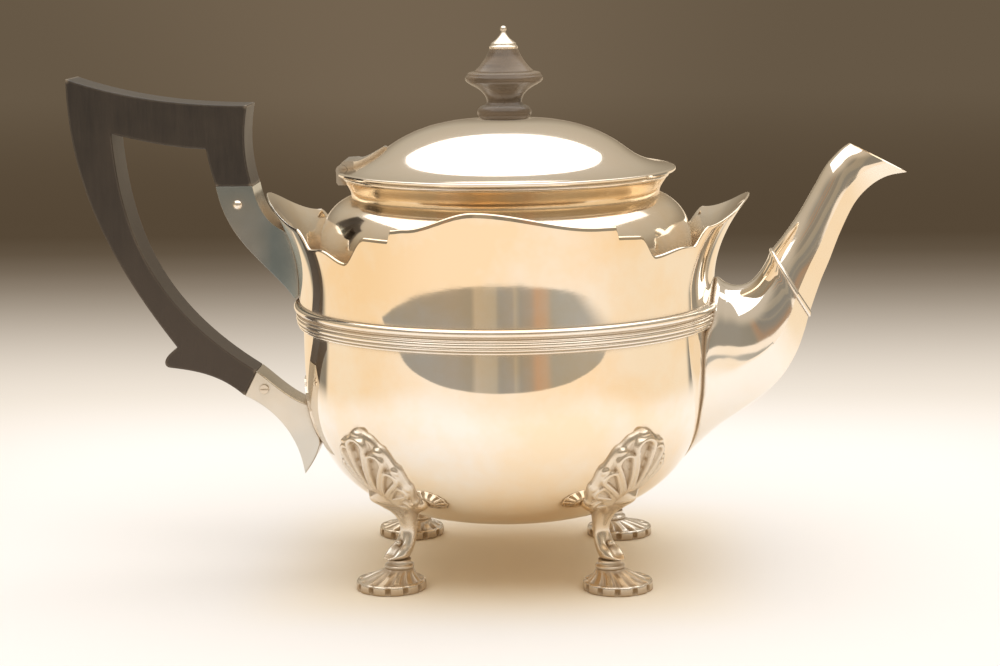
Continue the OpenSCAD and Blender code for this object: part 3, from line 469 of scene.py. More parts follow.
bowl_profile = ([(BODY_R, GIRDLE_Z)] + bowl_arc(BODY_R, BOWL_DEPTH)
                + bowl_arc(BODY_R - WALL, BOWL_DEPTH - WALL)[::-1] + [(BODY_R - WALL, GIRDLE_Z)])
turned("bowl_skin", bowl_profile, body_silver, POT, ["bowl"])

neck_path = (
    curve([(BODY_R, GIRDLE_Z), (BODY_R, GIRDLE_Z + 6), (SHOULDER_R, HIP_Z - 9),
           (SHOULDER_R, HIP_Z)], 24)
    + curve([(SHOULDER_R, HIP_Z), (SHOULDER_R, HIP_Z + 8.5), (NECK_R + 7.8, NECK_Z - 3.2),
             (NECK_R, NECK_Z)], 36, 1)
    + curve([(NECK_R, NECK_Z), (NECK_R - 0.3, NECK_Z + 1.6), (NECK_R + 0.9, NECK_Z + 3.2),
             (MOUTH_R, NECK_TOP)], 18, 1)
)
neck_inner = beside(neck_path, WALL)[1:-1]
turned("shoulder_skin", neck_path + [(MOUTH_R - WALL, NECK_TOP)] + neck_inner[::-1]
       + [(BODY_R - WALL, GIRDLE_Z)], shoulder_silver, POT, ["shoulder"])

rim_r = MOUTH_R + 0.6 - RIM_H / 2
notch = math.degrees(math.asin(HINGE_HALF / MOUTH_R))
turned("neck_rim_wire", [(MOUTH_R - WALL, NECK_TOP), (MOUTH_R - WALL, MOUTH_Z)]
       + arc(rim_r, NECK_TOP + RIM_H / 2, RIM_H / 2, 90, -90, 12),
       wire_silver, POT, ["neck_rim"], start=-180 + notch, end=180 - notch)

# Each reed: its top below the girdle's, its height, where its root lies and how far it
# stands out, or in where that is negative.
REEDS = [
    (0, 2.4, 1.7, 1.2), (2.4, 0.6, 1.75, -0.15), (3.0, 0.95, 1.75, 0.5), (3.95, 1.45, 1.7, 0.55),
    (5.4, 1.1, 1.5, 0.5), (6.5, 0.9, 1.1, 0.45),
]
REED_STEPS = 14
girdle_profile = [(BODY_R, GIRDLE_TOP - GIRDLE_H), (BODY_R, GIRDLE_TOP)]
for below, height, root, proud in REEDS:
    top = GIRDLE_TOP - below
    for k in range(1, REED_STEPS):
        a = 180 * k / REED_STEPS
        girdle_profile.append((BODY_R + root + proud * sind(a),
                               top - height * (0.5 - 0.5 * cosd(a))))
turned("girdle_reeds", girdle_profile, wire_silver, POT, ["girdle"], n=360)


# ---- gallery ----

# Its upper edge as shares of the tip's height. At the back, over one quarter from spout
# or handle to the side; at the front, round from the handle (180) to the spout (360).
BACK = [(0, 1), (24.5, 0.78), (29.3, 0.626), (34.5, 0.637), (45.5, 0.559), (53, 0.775),
        (61, 0.77), (61.8, 0.848), (68, 0.87), (86, 1.003), (90, 1.006)]
FRONT = [(180, 1), (204.5, 0.78), (209.3, 0.626), (214.5, 0.637), (225.5, 0.559), (233, 0.78),
         (241, 0.775), (241.8, 0.855), (246, 0.87), (264.5, 1.006), (298, 0.868), (302.5, 0.866),
         (303.3, 0.785), (310.5, 0.775), (315.5, 0.60), (326.5, 0.640), (331.2, 0.63),
         (335.5, 0.78), (360, 1)]
EDGE_STEP, GALLERY_ROWS = 0.75, 26
OUTER_DROP, INNER_DROP = 0.42, 2.2


def quarter(a):
    """Angle from the nearer of the two points, at the spout (0) and the handle (180)."""
    b = a % 180
    return 180 - b if b > 90 else b


def edge_z(a):
    """Height of the gallery's cut edge at angle a."""
    front = 180 < a % 360 < 360
    q, keys = (a % 360, FRONT) if front else (quarter(a), BACK)
    share = keys[-1][1]
    for (a0, h0), (a1, h1) in zip(keys, keys[1:]):
        if q <= a1:
            share = mix(h0, h1, ease((q - a0) / (a1 - a0)))
            break
    dip = 1 - ease(quarter(a) / 24) if cosd(a) > 0 else 0
    return GIRDLE_Z + TIP_H * share - dip


def flare_at(z):
    return (max(0, z - FLARE_FROM) / (GIRDLE_Z + TIP_H - FLARE_FROM)) ** 2


def lean(a):
    flare = FLARE_SPOUT if cosd(a) > 0 else FLARE_HANDLE
    return flare * (1 - ease((quarter(a) - LEAN_FULL) / LEAN_FADE))


edge_angles = {round(EDGE_STEP * k, 3) for k in range(round(360 / EDGE_STEP))}
edge_angles |= {key[0] for key in FRONT if key[0] < 360}
for key in BACK:
    edge_angles |= {key[0], 180 - key[0]}
edge_angles = sorted(edge_angles)


def gallery_ring(share, out, drop):
    """A ring at a share of the gallery's height, out from its inner face."""
    row = []
    for a in edge_angles:
        z = mix(GIRDLE_TOP, edge_z(a) - drop, share)
        r = GALLERY_R + out + flare_at(z) * lean(a)
        row.append((r * cosd(a), r * sind(a), z))
    return row


LIP = [  # the edge's section from its outer to its inner side: share of its thickness, drop
    (0.94, 0.3), (0.82, 0.16), (0.64, 0.05), (0.5, 0), (0.42, 0.05), (0.36, 0.2), (0.3, 0.6),
]
shares = [i / GALLERY_ROWS for i in range(GALLERY_ROWS + 1)]
outer_rows = [gallery_ring(share, GALLERY_T, OUTER_DROP) for share in shares]
inner_rows = [gallery_ring(share, 0, INNER_DROP) for share in shares[::-1]]
lip_rows = [gallery_ring(1, GALLERY_T * share, drop) for share, drop in LIP]
rings("gallery_sheet", outer_rows + lip_rows + inner_rows, body_silver, POT, ["gallery"],
      crease=50)


# ---- spout: panels over a lobed root ----

ROOT_W, SEAM_W, MOUTH_W = 16.0, 9.8, 6.0
# Each row: the top point's x and z and the bottom point's x and z, from the girdle's edge,
# then half the width and how round the section is, from 0 (panels) to 1.
SPOUT_ROWS = [
    (-3.5, 11.5, -13.5, -52.5, ROOT_W * 1.25, 1),
    (1.7, 10, -5.3, -44, ROOT_W * 1.16, 1),
    (4.7, 8, 2.2, -37.3, ROOT_W * 1.04, 0.95),
    (7.7, 7, 9.7, -32.2, ROOT_W * 0.9, 0.8),
    (10.7, 7.4, 16.7, -27.1, mix(SEAM_W, ROOT_W, 0.5), 0.55),
    (13.2, 8.8, 22.4, -21.3, mix(SEAM_W, ROOT_W, 0.35), 0.3),
    (15.7, 11.8, 26.7, -14, mix(SEAM_W, ROOT_W, 0.2), 0.12),
    (17.5, 14.9, 29.2, -7, mix(SEAM_W, ROOT_W, 0.08), 0.03),
    (18.8, 17.8, 30.7, -1.5, SEAM_W, 0),
    (22.9, 23.1, 34, 8.3, mix(MOUTH_W, SEAM_W, 0.58), 0),
    (27.3, 29.6, 36.8, 15.2, mix(MOUTH_W, SEAM_W, 0.36), 0),
    (31.4, 36.9, 40.1, 23.9, mix(MOUTH_W, SEAM_W, 0.2), 0),
    (35.5, 44.2, 44.3, 32.6, mix(MOUTH_W, SEAM_W, 0.1), 0),
    (38.6, 47.9, 49, 37.9, MOUTH_W, 0),
    (40.6, 49.8, 54.2, 41, MOUTH_W, 0),
    (42.6, 51.2, 60.3, 42.2, MOUTH_W, 0),
]
SEAM_ROW = 8
PANEL_POINTS = 24
CREASE = -0.26
KEEL_HALF, KEEL_AT, KEEL_BOW = 0.40, -0.97, 0.03
# The lobed root: the heights of the cusps between its lobes, its stand-off at a lobe and
# how much more it is at a cusp, the width of its rolled edge and the depth of its recess.
CUSPS_Z = [GIRDLE_Z + z for z in (16, -2.3, -24.4, -38.8, -54)]
ROOT_GAP, ROOT_CUSP, ROOT_ROLL, ROOT_DROP = 1.6, 2.3, 1.5, 1.6


def arched(angle):
    """The rounded back and side of the spout, from straight up (0) to its crease (90)."""
    return (sind(angle) ** 0.85, CREASE + (1 - CREASE) * cosd(angle) ** 0.9)


def bulb(angle):
    """The round lower spout, from straight up (0) to straight down (180)."""
    c = cosd(angle)
    return (sind(angle) ** 0.85, math.copysign(abs(c) ** 0.9, c))


def spout_section(root):
    """The spout's section within a 2 by 2 square, in three panels a side over a flat keel."""
    panels = [
        (lambda s: arched(mix(16, 44, s)), (16, 44)),
        (lambda s: arched(mix(44, 90, s)), (44, 98)),
        (lambda s: mixed((1, CREASE), (KEEL_HALF, KEEL_AT), s), (98, 157)),
    ]
    side, keel, roof = [], [], []
    for plain, (start, end) in panels:
        for k in range(PANEL_POINTS):
            s = k / PANEL_POINTS
            side.append(mixed(plain(s), bulb(mix(start, end, s)), root))
    for k in range(PANEL_POINTS + 1):
        s = k / PANEL_POINTS
        flat = (mix(KEEL_HALF, -KEEL_HALF, s), KEEL_AT - KEEL_BOW * sind(180 * s))
        x, y = bulb(157 + 23 * (1 - abs(1 - 2 * s)))
        keel.append(mixed(flat, (math.copysign(x, 0.5 - s), y), root))
    for k in range(1, PANEL_POINTS):
        x, y = arched(abs(mix(-16, 16, k / PANEL_POINTS)))
        roof.append((math.copysign(x, k / PANEL_POINTS - 0.5), y))
    return side + keel + [(-x, y) for x, y in side[::-1]] + roof


def spout_ring(t, inset):
    """The spout's ring at row number t, moved in by inset."""
    tx, tz, bx, bz, half, root = through(SPOUT_ROWS, t)
    top = (BODY_R + tx, GIRDLE_Z + tz)
    bottom = (BODY_R + bx, GIRDLE_Z + bz)
    middle = mixed(top, bottom, 0.5)
    up = ((top[0] - bottom[0]) / 2, (top[1] - bottom[1]) / 2)
    shrink = 1 - inset / math.hypot(*up)
    return [(middle[0] + up[0] * shrink * v, (half - inset) * u, middle[1] + up[1] * shrink * v)
            for u, v in spout_section(clamp(root))]


def body_side(z, flare):
    """Outer radius of bowl, girdle or gallery at height z, with the seating gap."""
    if z > GIRDLE_TOP:
        return GALLERY_R + GALLERY_T + flare * flare_at(z) + GAP
    if z > GIRDLE_TOP - GIRDLE_H:
        return BODY_R + GIRDLE_STRIP + REED_REACH + GAP
    return bowl_r(z) + GAP


def root_side(z):
    """What the spout's root meets: the girdle stops short of it."""
    if z > GIRDLE_Z:
        return GALLERY_R + GALLERY_T + FLARE_SPOUT * flare_at(z)
    return bowl_r(z) + mix(0, GALLERY_T + 0.05, ease((z - WIDEST_Z) / 6))


def root_gap(z):
    """How far the lobed root line stands off the body: least at the middle of each lobe."""
    for top, low in zip(CUSPS_Z, CUSPS_Z[1:]):
        if low <= z <= top:
            return ROOT_GAP + ROOT_CUSP * (1 - sind(180 * (top - z) / (top - low))) ** 1.4
    return ROOT_GAP


def rooted(inset, steps=90, fine=0.05):
    """Rings of the lower spout: a recess at the body, then the lobed edge rolling over.

    Each line along the spout starts where it leaves the body, found on a fine table of it.
    """
    samples = int(SEAM_ROW / fine)
    table = [spout_ring(i * fine, inset) for i in range(samples + 1)]
    sunk = [spout_ring(i * fine, inset + ROOT_DROP) for i in range(samples + 1)]
    rows = [[] for _ in range(steps + 1)]
    for k in range(len(table[0])):
        first = 0
        for i in range(samples, -1, -1):
            x, y, z = table[i][k]
            if math.hypot(x, y) < root_side(z):
                gone = math.hypot(*table[i + 1][k][:2]) - root_side(table[i + 1][k][2])
                short = root_side(z) - math.hypot(x, y)
                first = i + short / max(0.001, short + gone)
                break
        i = min(int(first), samples - 1)
        begin = mixed(table[i][k], table[i + 1][k], first - i)
        edge = root_gap(begin[2])
        for j in range(steps + 1):
            t = mix(first, samples, (j / steps) ** 1.5)
            i = min(int(t), samples - 1)
            out = mixed(table[i][k], table[i + 1][k], t - i)
            low = mixed(sunk[i][k], sunk[i + 1][k], t - i)
            to_edge = clamp((edge - math.dist(out, begin)) / max(ROOT_ROLL, 0.9 * edge))
            rows[j].append(mixed(out, low, 1 - math.sqrt(1 - to_edge ** 2)))
    return rows


PANEL_SHARP, UPPER_STEPS = 24, 70
rings("spout_lower_skin", rooted(0) + rooted(WALL)[::-1], spout_silver, POT, ["spout_lower"],
      crease=PANEL_SHARP)
upper_steps = [mix(SEAM_ROW, len(SPOUT_ROWS) - 1, i / UPPER_STEPS)
               for i in range(UPPER_STEPS + 1)]
rings("spout_upper_skin", [spout_ring(t, 0) for t in upper_steps]
      + [spout_ring(t, WALL) for t in upper_steps[::-1]],
      spout_silver, POT, ["spout_upper"], crease=PANEL_SHARP)
rings("spout_seam_bead", [spout_ring(SEAM_ROW + 0.13 * cosd(a), -0.05 - 0.75 * sind(a))
                          for a in range(0, 181, 15)] + [spout_ring(SEAM_ROW, -0.02)],
      wire_silver, POT, ["spout_seam"], crease=40)


# ---- handle and sockets, drawn from the side ----

def beside_bowl(points):
    """Points given out from the bowl's side and up from the girdle, on the handle's side."""
    return [(-BODY_R - x, GIRDLE_Z + z) for x, z in points]


HANDLE_TIP, HANDLE_CORNER = (71.8, 73.8), (15.3, 65.1)
UPPER_JOINT = ((14.4, 40), (25.8, 40))
INNER_CORNER, GRIP_CORNER = (28.6, 51.7), (57.9, 56.6)
LOWER_JOINT = ((15, -18.4), (19.1, -26.4))
SPUR, SPUR_NOTCH = (42.1, -17.4), (39.8, -11)
TAIL_TIP = (0.6, -51.7)

handle_outline = beside_bowl(
    curve([HANDLE_TIP, (52.2, 66.9), (32.2, 65.2), HANDLE_CORNER], 20)
    + curve([HANDLE_CORNER, (17.1, 56.5), (16.8, 48), UPPER_JOINT[0]], 14, 1)
    + curve([UPPER_JOINT[1], (27.4, 45), (28, 48), INNER_CORNER], 8)
    + curve([INNER_CORNER, (38.2, 52), (48.2, 54.2), GRIP_CORNER], 14, 1)
    + curve([GRIP_CORNER, (56.2, 29), (49.2, 3), LOWER_JOINT[0]], 34, 1)
    + [LOWER_JOINT[1]]
    + curve([LOWER_JOINT[1], (25.2, -21), (31.2, -18.6), SPUR], 16, 1)
    + curve([SPUR, (45.2, -17.2), (44.6, -13.6), SPUR_NOTCH], 12, 1)
    + curve([SPUR_NOTCH, (62.2, 19), (72, 44), HANDLE_TIP], 34, 1)[:-1]
)


def half_width(z):
    """Half the handle's width, which narrows from its upper joint to its lower."""
    low, high = GIRDLE_Z + LOWER_JOINT[1][1], GIRDLE_Z + UPPER_JOINT[0][1]
    slope = (HANDLE_T - HANDLE_LOW_T) / 2 / (high - low)
    return min(HANDLE_T / 2, HANDLE_LOW_T / 2 + slope * (z - low))


def side_solid(name, outline, material, replaced, bevel, seat=None, slices=6, taper=0.0,
               taper_from=0.0):
    """A body seen from the side, with its points past seat laid on the pot's surface."""
    rows = []
    for i in range(slices + 1):
        row = []
        for x, z in outline:
            y = (half_width(z) - taper * max(0, taper_from - z)) * (2 * i / slices - 1)
            if seat:
                side = math.sqrt(max(1, seat(z) ** 2 - y * y))
                x = min(x, -side)
            row.append((x, y, z))
        rows.append(row)
    obj = rings(name, rows, material, POT, replaced, wrap_rows=False, caps=True)
    modifier = obj.modifiers.new("edges", "BEVEL")
    modifier.width = bevel * MM
    modifier.segments = 3
    modifier.limit_method = "ANGLE"
    modifier.angle_limit = math.radians(40)
    modifier.harden_normals = True


side_solid("handle_wood", handle_outline, handle_wood, ["handle"], 0.4)

UPPER_SEAT_TOP, LOWER_SEAT_TOP, LOWER_SEAT_LOW = 25.5, -29.4, -37
socket_back = [mix(GIRDLE_H / 2, UPPER_SEAT_TOP, i / 12) for i in range(13)]
upper_socket_outline = beside_bowl(
    [(-4, z) for z in socket_back] + [(4.2, UPPER_SEAT_TOP)]
    + curve([(5.4, 26.2), (9.7, 28), (13.2, 33), UPPER_JOINT[0]], 14)
    + curve([UPPER_JOINT[1], (24.2, 29.5), (19.2, 23), (12.7, 16.2)], 16)
    + curve([(12.7, 16.2), (7.2, 10.5), (3.7, 7), (2.1, GIRDLE_H / 2)], 14, 1)
)
side_solid("upper_socket_skin", upper_socket_outline, blued_silver, ["upper_socket"], 0.35,
           seat=lambda z: body_side(z, FLARE_HANDLE), taper=0.035, taper_from=GIRDLE_Z + 40)
lower_back = [mix(LOWER_SEAT_LOW, LOWER_SEAT_TOP, i / 5) for i in range(6)]
lower_socket_outline = beside_bowl(
    [(-12, z) for z in lower_back]
    + curve([(-1.3, LOWER_SEAT_TOP), (5.2, -27.5), (10.2, -22), LOWER_JOINT[0]], 14, 1)
    + curve([LOWER_JOINT[1], (12.2, -29.5), (2.7, -36.5), TAIL_TIP], 20)
    + curve([TAIL_TIP, (-2.8, -47.5), (-5.1, -42.5), (-4.9, LOWER_SEAT_LOW)], 10, 1)[:-1]
)
side_solid("lower_socket_skin", lower_socket_outline, socket_silver, ["lower_socket"], 0.35,
           seat=lambda z: bowl_r(z) + 0.8)


# ---- lid and finial ----

DOME_TURN = (37.5, BRIM_Z + DOME_H * 0.39)  # where the dome turns up into its brim
DOME_STEPS = 40
STUD_HOLE_R = 1.5
dome_path = (
    curve([(8.4, DOME_Z), (20.5, DOME_Z), (30.5, BRIM_Z + DOME_H * 0.76), DOME_TURN], DOME_STEPS)
    + curve([DOME_TURN, (40.8, BRIM_Z + DOME_H * 0.215), (45, BRIM_Z + DOME_H * 0.06),
             (LID_R - 0.6, BRIM_Z)], 30, 1)
)
dome_inner = beside(dome_path[:DOME_STEPS + 1], -LID_T)
lid_profile = (
    [(STUD_HOLE_R, DOME_Z)] + dome_path + arc(LID_R - 0.35, BRIM_Z - 0.45, 0.35, 80, -10, 5)
    + [(LID_R, MOUTH_Z + 0.35), (LID_R - 0.4, MOUTH_Z), (BEZEL_IN, MOUTH_Z)]
    + dome_inner[::-1] + [(STUD_HOLE_R, DOME_Z - LID_T)]
)
lid = turned("lid_skin", lid_profile, lid_silver, LID, ["lid_dome"])
cut(lid, ((HINGE_X - 8, -9.2, MOUTH_Z - 1), (HINGE_X + 2, 9.2, MOUTH_Z + 9)),
    ((HINGE_X - 9.9, -LID_R, MOUTH_Z - 1), (HINGE_X + 0.1, LID_R, MOUTH_Z + 9)))

FINIAL_R, FINIAL_H = 12.2, 21.6
STUD_R, STUD_LEN, STUD_SLIP = 1.45, 26.4, 0.03


def lifted(points, height):
    return [(r, z + height) for r, z in points]


finial_profile = lifted(
    [(STUD_R + STUD_SLIP, 0), (6.25, 0)] + arc(6.25, 2.15, 2.15, -90, 75, 16)
    + [(6.0, 4.45), (5.7, 4.9)]
    + curve([(5.4, 5.3), (5.4, 7.1), (6.8, 9.1), (FINIAL_R - 1.8, 10.8)], 14)
    + curve([(FINIAL_R - 1.2, 11.2), (FINIAL_R, 11.7), (FINIAL_R + 0.2, 13),
             (FINIAL_R - 0.7, 13.7)], 10)
    + curve([(FINIAL_R - 0.8, 14.1), (FINIAL_R - 1, 14.5), (FINIAL_R - 1.8, 14.7),
             (FINIAL_R - 3, 14.7)], 6)
    + curve([(FINIAL_R - 3.1, 15), (FINIAL_R - 4.8, 16.4), (5.8, 18.4), (4.4, FINIAL_H)], 16)
    + [(STUD_R + STUD_SLIP, FINIAL_H)], DOME_Z)
knob = turned("finial_turning", finial_profile, finial_wood, LID, ["finial"], n=128, crease=40)
tip_profile = lifted(
    [(0.02, -STUD_LEN), (STUD_R, -STUD_LEN), (STUD_R, 0), (4.2, 0), (4.4, 0.3), (4.4, 0.8),
     (4.0, 1.2)]
    + curve([(3.9, 1.8), (2.4, 2.9), (1.3, 3.6), (0.7, 5.3)], 12)
    + arc(0, 6.2, 1, -48, 89, 12), DOME_Z + FINIAL_H)
cap = turned("finial_cap", tip_profile, cast_silver, LID, ["finial_tip"], n=96, crease=40)
knob.visible_glossy = cap.visible_glossy = False  # the lid shows no reflection of them


# ---- legs: a fluted shell over a scrolled shin ----

SHELL_LEN = 27.0
SHELL_ROOT_Z, SHELL_RISE = BASE_Z + 11, 0.84
PETALS = [  # direction from straight up, share of SHELL_LEN, half opening angle, height of rim
    (-25, 0.68, 7, 2.0), (-11, 0.87, 7.5, 2.4), (78, 0.44, 11, 2.2), (59, 0.62, 10, 2.4),
    (42, 0.74, 9.5, 2.8), (24, 0.87, 9.5, 3.1), (5.5, 1.0, 9.5, 3.4),
]
# Direction from straight up, and how far the fan's outline reaches there.
FAN_EDGE = [(-34, 17.0), (-25, 20.6), (-11, 25.8), (5, 29.8), (14, 28.8), (24, 26.8), (41, 23.2),
            (58, 20.0), (78, 15.4), (90, 12.5)]
# Each row: the outer point's x and z and the inner point's x and z, from the top of the
# foot, then half the width.
SHIN_ROWS = [
    (10.0, 23.6, 0.6, 19.6, 5.6),
    (10.9, 20.4, -4.4, 16.6, 5.3),
    (6.6, 17.4, -6.7, 15.2, 4.4),
    (2.3, 14.7, -6.8, 13.2, 3.5),
    (-0.3, 11.8, -6.6, 10.8, 2.85),
    (-1.3, 8.6, -6.4, 7.8, 2.6),
    (0.5, 5.7, -5.4, 3.8, 2.9),
    (3.3, 3.7, -3.9, 1.2, 3.3),
    (5.1, 1.9, -2.2, 0, 3.2),
    (5.9, 0.9, 2.6, 0, 1.7),
]


def over_bowl(up, side, out):
    """A point over the bowl: up it, sideways, and out from its surface."""
    z = SHELL_ROOT_Z + up * SHELL_RISE
    slope = bowl_r(z + 0.5) - bowl_r(z - 0.5)
    length = math.hypot(1, slope)
    r = bowl_r(z) + out / length
    a = math.degrees(side / bowl_r(z))
    return (r * cosd(a), r * sind(a), z - out * slope / length)


def petal_height(direction, reach, petal):
    """Height of one spoon-shaped flute: a round rim about a hollow, and a bead at its end."""
    towards, share, half, rim = petal
    turn = direction - towards
    if abs(turn) > 60:
        return -1
    length = SHELL_LEN * share
    centre = length / (1 + sind(half))
    x, y = reach * cosd(turn), abs(reach * sind(turn))
    if x * cosd(half) + y * sind(half) < centre * cosd(half):
        inside = x * sind(half) - y * cosd(half)
    else:
        inside = centre * sind(half) - math.hypot(x - centre, y)
    rim *= mix(0.6, 1, ease(x / length * 1.2))
    bead = 1 - (math.hypot(x - length - 0.3, y) / (0.9 + 1.1 * share)) ** 2
    high = rim * (0.42 + 0.4 * math.sqrt(bead)) if bead > 0 else -1
    if inside > -0.7:
        wall = 0.5 + 0.5 * ease((inside + 0.7) / 0.9)
        high = max(high, rim * (wall - 0.74 * ease((inside - 1.1) / 1.2)))
    return high


def fan_height(direction, reach):
    """Height of the fan's face over the bowl, and its outline's reach in that direction."""
    for (a, edge_a), (b, edge_b) in zip(FAN_EDGE, FAN_EDGE[1:]):
        if direction <= b:
            edge = mix(edge_a, edge_b, ease((direction - a) / (b - a)))
            break
    first, last = FAN_EDGE[0][0], FAN_EDGE[-1][0]
    margin = min(edge - reach, reach * sind(direction - first), reach * sind(last - direction))
    back = 1.6 * math.sqrt(clamp(margin / 2.2)) * mix(0.7, 1, ease(reach / 14))
    fade = ease(margin / 0.5)
    return mix(-0.3, max([back] + [petal_height(direction, reach, p) for p in PETALS]), fade), edge


def fan_loops(columns=84):
    """The shell fan: for each direction a closed loop over its face and back under it."""
    loops = []
    for direction in [FAN_EDGE[0][0] + i for i in range(FAN_EDGE[-1][0] - FAN_EDGE[0][0] + 1)]:
        edge = fan_height(direction, 1)[1]
        loop = []
        for k in range(columns + 1):
            reach = mix(1.0, edge, k / columns)
            loop.append(over_bowl(reach * cosd(direction), reach * sind(direction),
                                  fan_height(direction, reach)[0]))
        loop += [over_bowl(r * cosd(direction), r * sind(direction), -0.7) for r in (edge, 1.0)]
        loops.append(loop)
    return loops


def shin_ring(t, n=48):
    """A ring of the shin at row number t, pinched like a leaf above and hollowed below."""
    ox, oz, ix, iz, half = through(SHIN_ROWS, t)
    mx, mz = LEG_R + (ox + ix) / 2, FOOT_H + (oz + iz) / 2
    hx, hz = (ox - ix) / 2, (oz - iz) / 2
    hollow = 0.7 * ease((t - 5.0) / 1.6) * (1 - 0.6 * ease((t - 8) / 1))
    leaf = ease((t - 0.1) / 0.8) * (1 - ease((t - 1.8) / 3))
    ring = []
    for k in range(n):
        a = 360 * k / n
        c, s = cosd(a), sind(a)
        wide = half * s
        if c > 0:
            wide *= 1 - leaf * 0.55 * c
            c *= 1 - hollow * c ** 5
        ring.append((mx + hx * c, wide, mz + hz * c))
    return ring


def ball(centre, radii, n=20):
    """Rings of a small rounded boss."""
    rows = []
    for i in range(n // 2 + 1):
        b = -89.5 + 179 * i / (n // 2)
        rows.append([(centre[0] + radii[0] * cosd(b) * cosd(360 * k / n),
                      centre[1] + radii[1] * cosd(b) * sind(360 * k / n),
                      centre[2] + radii[2] * sind(b)) for k in range(n)])
    return rows


def turned_about(points, angle, side):
    c, s = cosd(angle), sind(angle)
    return [(x * c - side * y * s, x * s + side * y * c, z) for x, y, z in points]


def leg(name, angle, side):
    """One casting of fan, toe and shin, turned to its angle and mirrored by side (1 or -1)."""
    points, faces = [], []

    def take(rows):
        start, n = len(points), len(rows[0])
        points.extend(p for row in rows for p in row)
        faces.extend(grid(len(rows), n, offset=start))
        faces.extend(ends(len(rows), n, start))

    take(fan_loops())
    take(ball((LEG_R + 0.1, 0, FOOT_H + 4.9), (0.9, 1.0, 0.9), 14))
    take([shin_ring((len(SHIN_ROWS) - 1) * i / 72) for i in range(73)])
    points = [(x, y, max(z, FOOT_H)) for x, y, z in points]
    piece(name + "_casting", turned_about(points, angle, side), faces, cast_silver, POT, [name],
          crease=60)


def foot(name, angle):
    """The scalloped pad and its ringed neck: notches between the lobes, hollows on top."""
    n = 24 * PAD_LOBES
    stations = [  # centre shift, radius, height, depth of side notches, depth of top hollows
        (1, 0.02, 0, 0, 0), (1, PAD_R - 0.5, 0, 0, 0), (1, PAD_R - 0.1, 0.12, 0, 0),
        (1, PAD_R, 0.4, 0.1, 0), (1, PAD_R, 0.62, 0.7, 0), (1, PAD_R, 1.0, 0.95, 0),
        (1, PAD_R, 1.4, 1, 0), (1, PAD_R, 1.8, 0.95, 0), (1, PAD_R - 0.03, 2.15, 0.6, 0),
        (1, PAD_R - 0.05, 2.35, 0.1, 0), (1, PAD_R - 0.15, 2.65, 0, 0),
        (1, PAD_R - 0.45, 2.88, 0, 0), (0.98, PAD_R - 0.85, 2.93, 0, 0.1),
        (0.95, PAD_R - 1.3, 2.95, 0, 0.6), (0.9, PAD_R - 1.9, 3.1, 0, 1.0),
        (0.8, 8.0, 3.45, 0, 1.15), (0.66, 7.1, 3.95, 0, 1.05), (0.5, 6.3, 4.45, 0, 0.8),
        (0.28, 5.4, 5.0, 0, 0.45), (0.08, 4.7, 5.5, 0, 0.12), (0, 4.2, 5.8, 0, 0),
        (0, 4.15, 5.95, 0, 0), (0, 4.5, 6.1, 0, 0), (0, 4.62, 6.5, 0, 0), (0, 4.4, 6.95, 0, 0),
        (0, 3.7, 7.15, 0, 0), (0, 3.5, 7.35, 0, 0), (0, 3.6, FOOT_H - 0.05, 0, 0),
        (0, 0.02, FOOT_H - 0.05, 0, 0),
    ]
    rows = []
    for shift, r, z, notch, hollow in stations:
        row = []
        for k in range(n):
            a = 360 * k / n + 90 / PAD_LOBES
            lobe = abs(cosd(PAD_LOBES / 2 * a))
            bite = math.sqrt(max(0, 1 - (lobe / 0.5) ** 2))
            radius = r - (1.15 * notch * bite + 0.3 * (1 - lobe) ** 2) * ease((r - 6) / 3)
            drop = hollow * (1 - ease(lobe / 0.85))
            row.append((LEG_R + PAD_SHIFT * shift + radius * cosd(a), radius * sind(a), z - drop))
        rows.append(row)
    rings(name + "_casting", [turned_about(row, angle, 1) for row in rows], cast_silver, POT,
          [name], wrap_rows=False, crease=60)


for side_name, y_sign in (("right", -1), ("left", 1)):
    leg("leg_spout_" + side_name, 45 * y_sign, y_sign)
    leg("leg_handle_" + side_name, 135 * y_sign, -y_sign)
    foot("foot_spout_" + side_name, 45 * y_sign)
    foot("foot_handle_" + side_name, 135 * y_sign)


# ---- the CAD nodes that stay as they are ----

for name in ("lower_socket_plate", "upper_rivet", "lower_screw", "hinge_body_leaf", "hinge_pin",
             "hinge_lid_leaf", "lid_bezel", "finial_washer", "finial_nut"):
    nodes[name].data.materials.clear()
    nodes[name].data.materials.append(hinge_silver if "hinge" in name else wire_silver)


# ---- stage: a pale floor that fades far off, a soft light overhead ----

def srgb(r, g, b):
    """A colour given in 0 to 255, as linear values."""
    def linear(c):
        c *= 1 / 255
        return c / 12.92 if c <= 0.04045 else ((c + 0.055) / 1.055) ** 2.4
    return tuple(linear(c) for c in (r, g, b))


NEAR = (0.95, 0.94, 0.92)
# painted shadow colour: the paper is painted warmer under the pot
PAINTED_SHADOW_WARMTH = (0.97, 0.86, 0.66)
PAPER, DUSK, HAZE = (255, 244, 230), (85, 71, 54), (102, 88, 70)
CREAM_AHEAD = (1.06, 0.92, 0.77)
CREAM = (0.98, 0.80, 0.58)
SLATE = (0.36, 0.345, 0.315)
BAND = (0.27, 0.25, 0.21)
SPAN = 4.0
FLOOR_HALF, FLOOR_DROP = 14.0, 0.00005
# The dull ellipse on the floor in front, in metres: half sizes, how far ahead its middle
# lies, the line where it starts, that line's bow, and where it fades to the right.
DULL_X, DULL_Y, DULL_AHEAD = 0.56, 0.46, 0.29
DULL_START, DULL_BOW = -0.325, 0.2
DULL_FADE = (0.42, 0.53)
GLOW_BEHIND = (1.3, 1.3, 1.32)


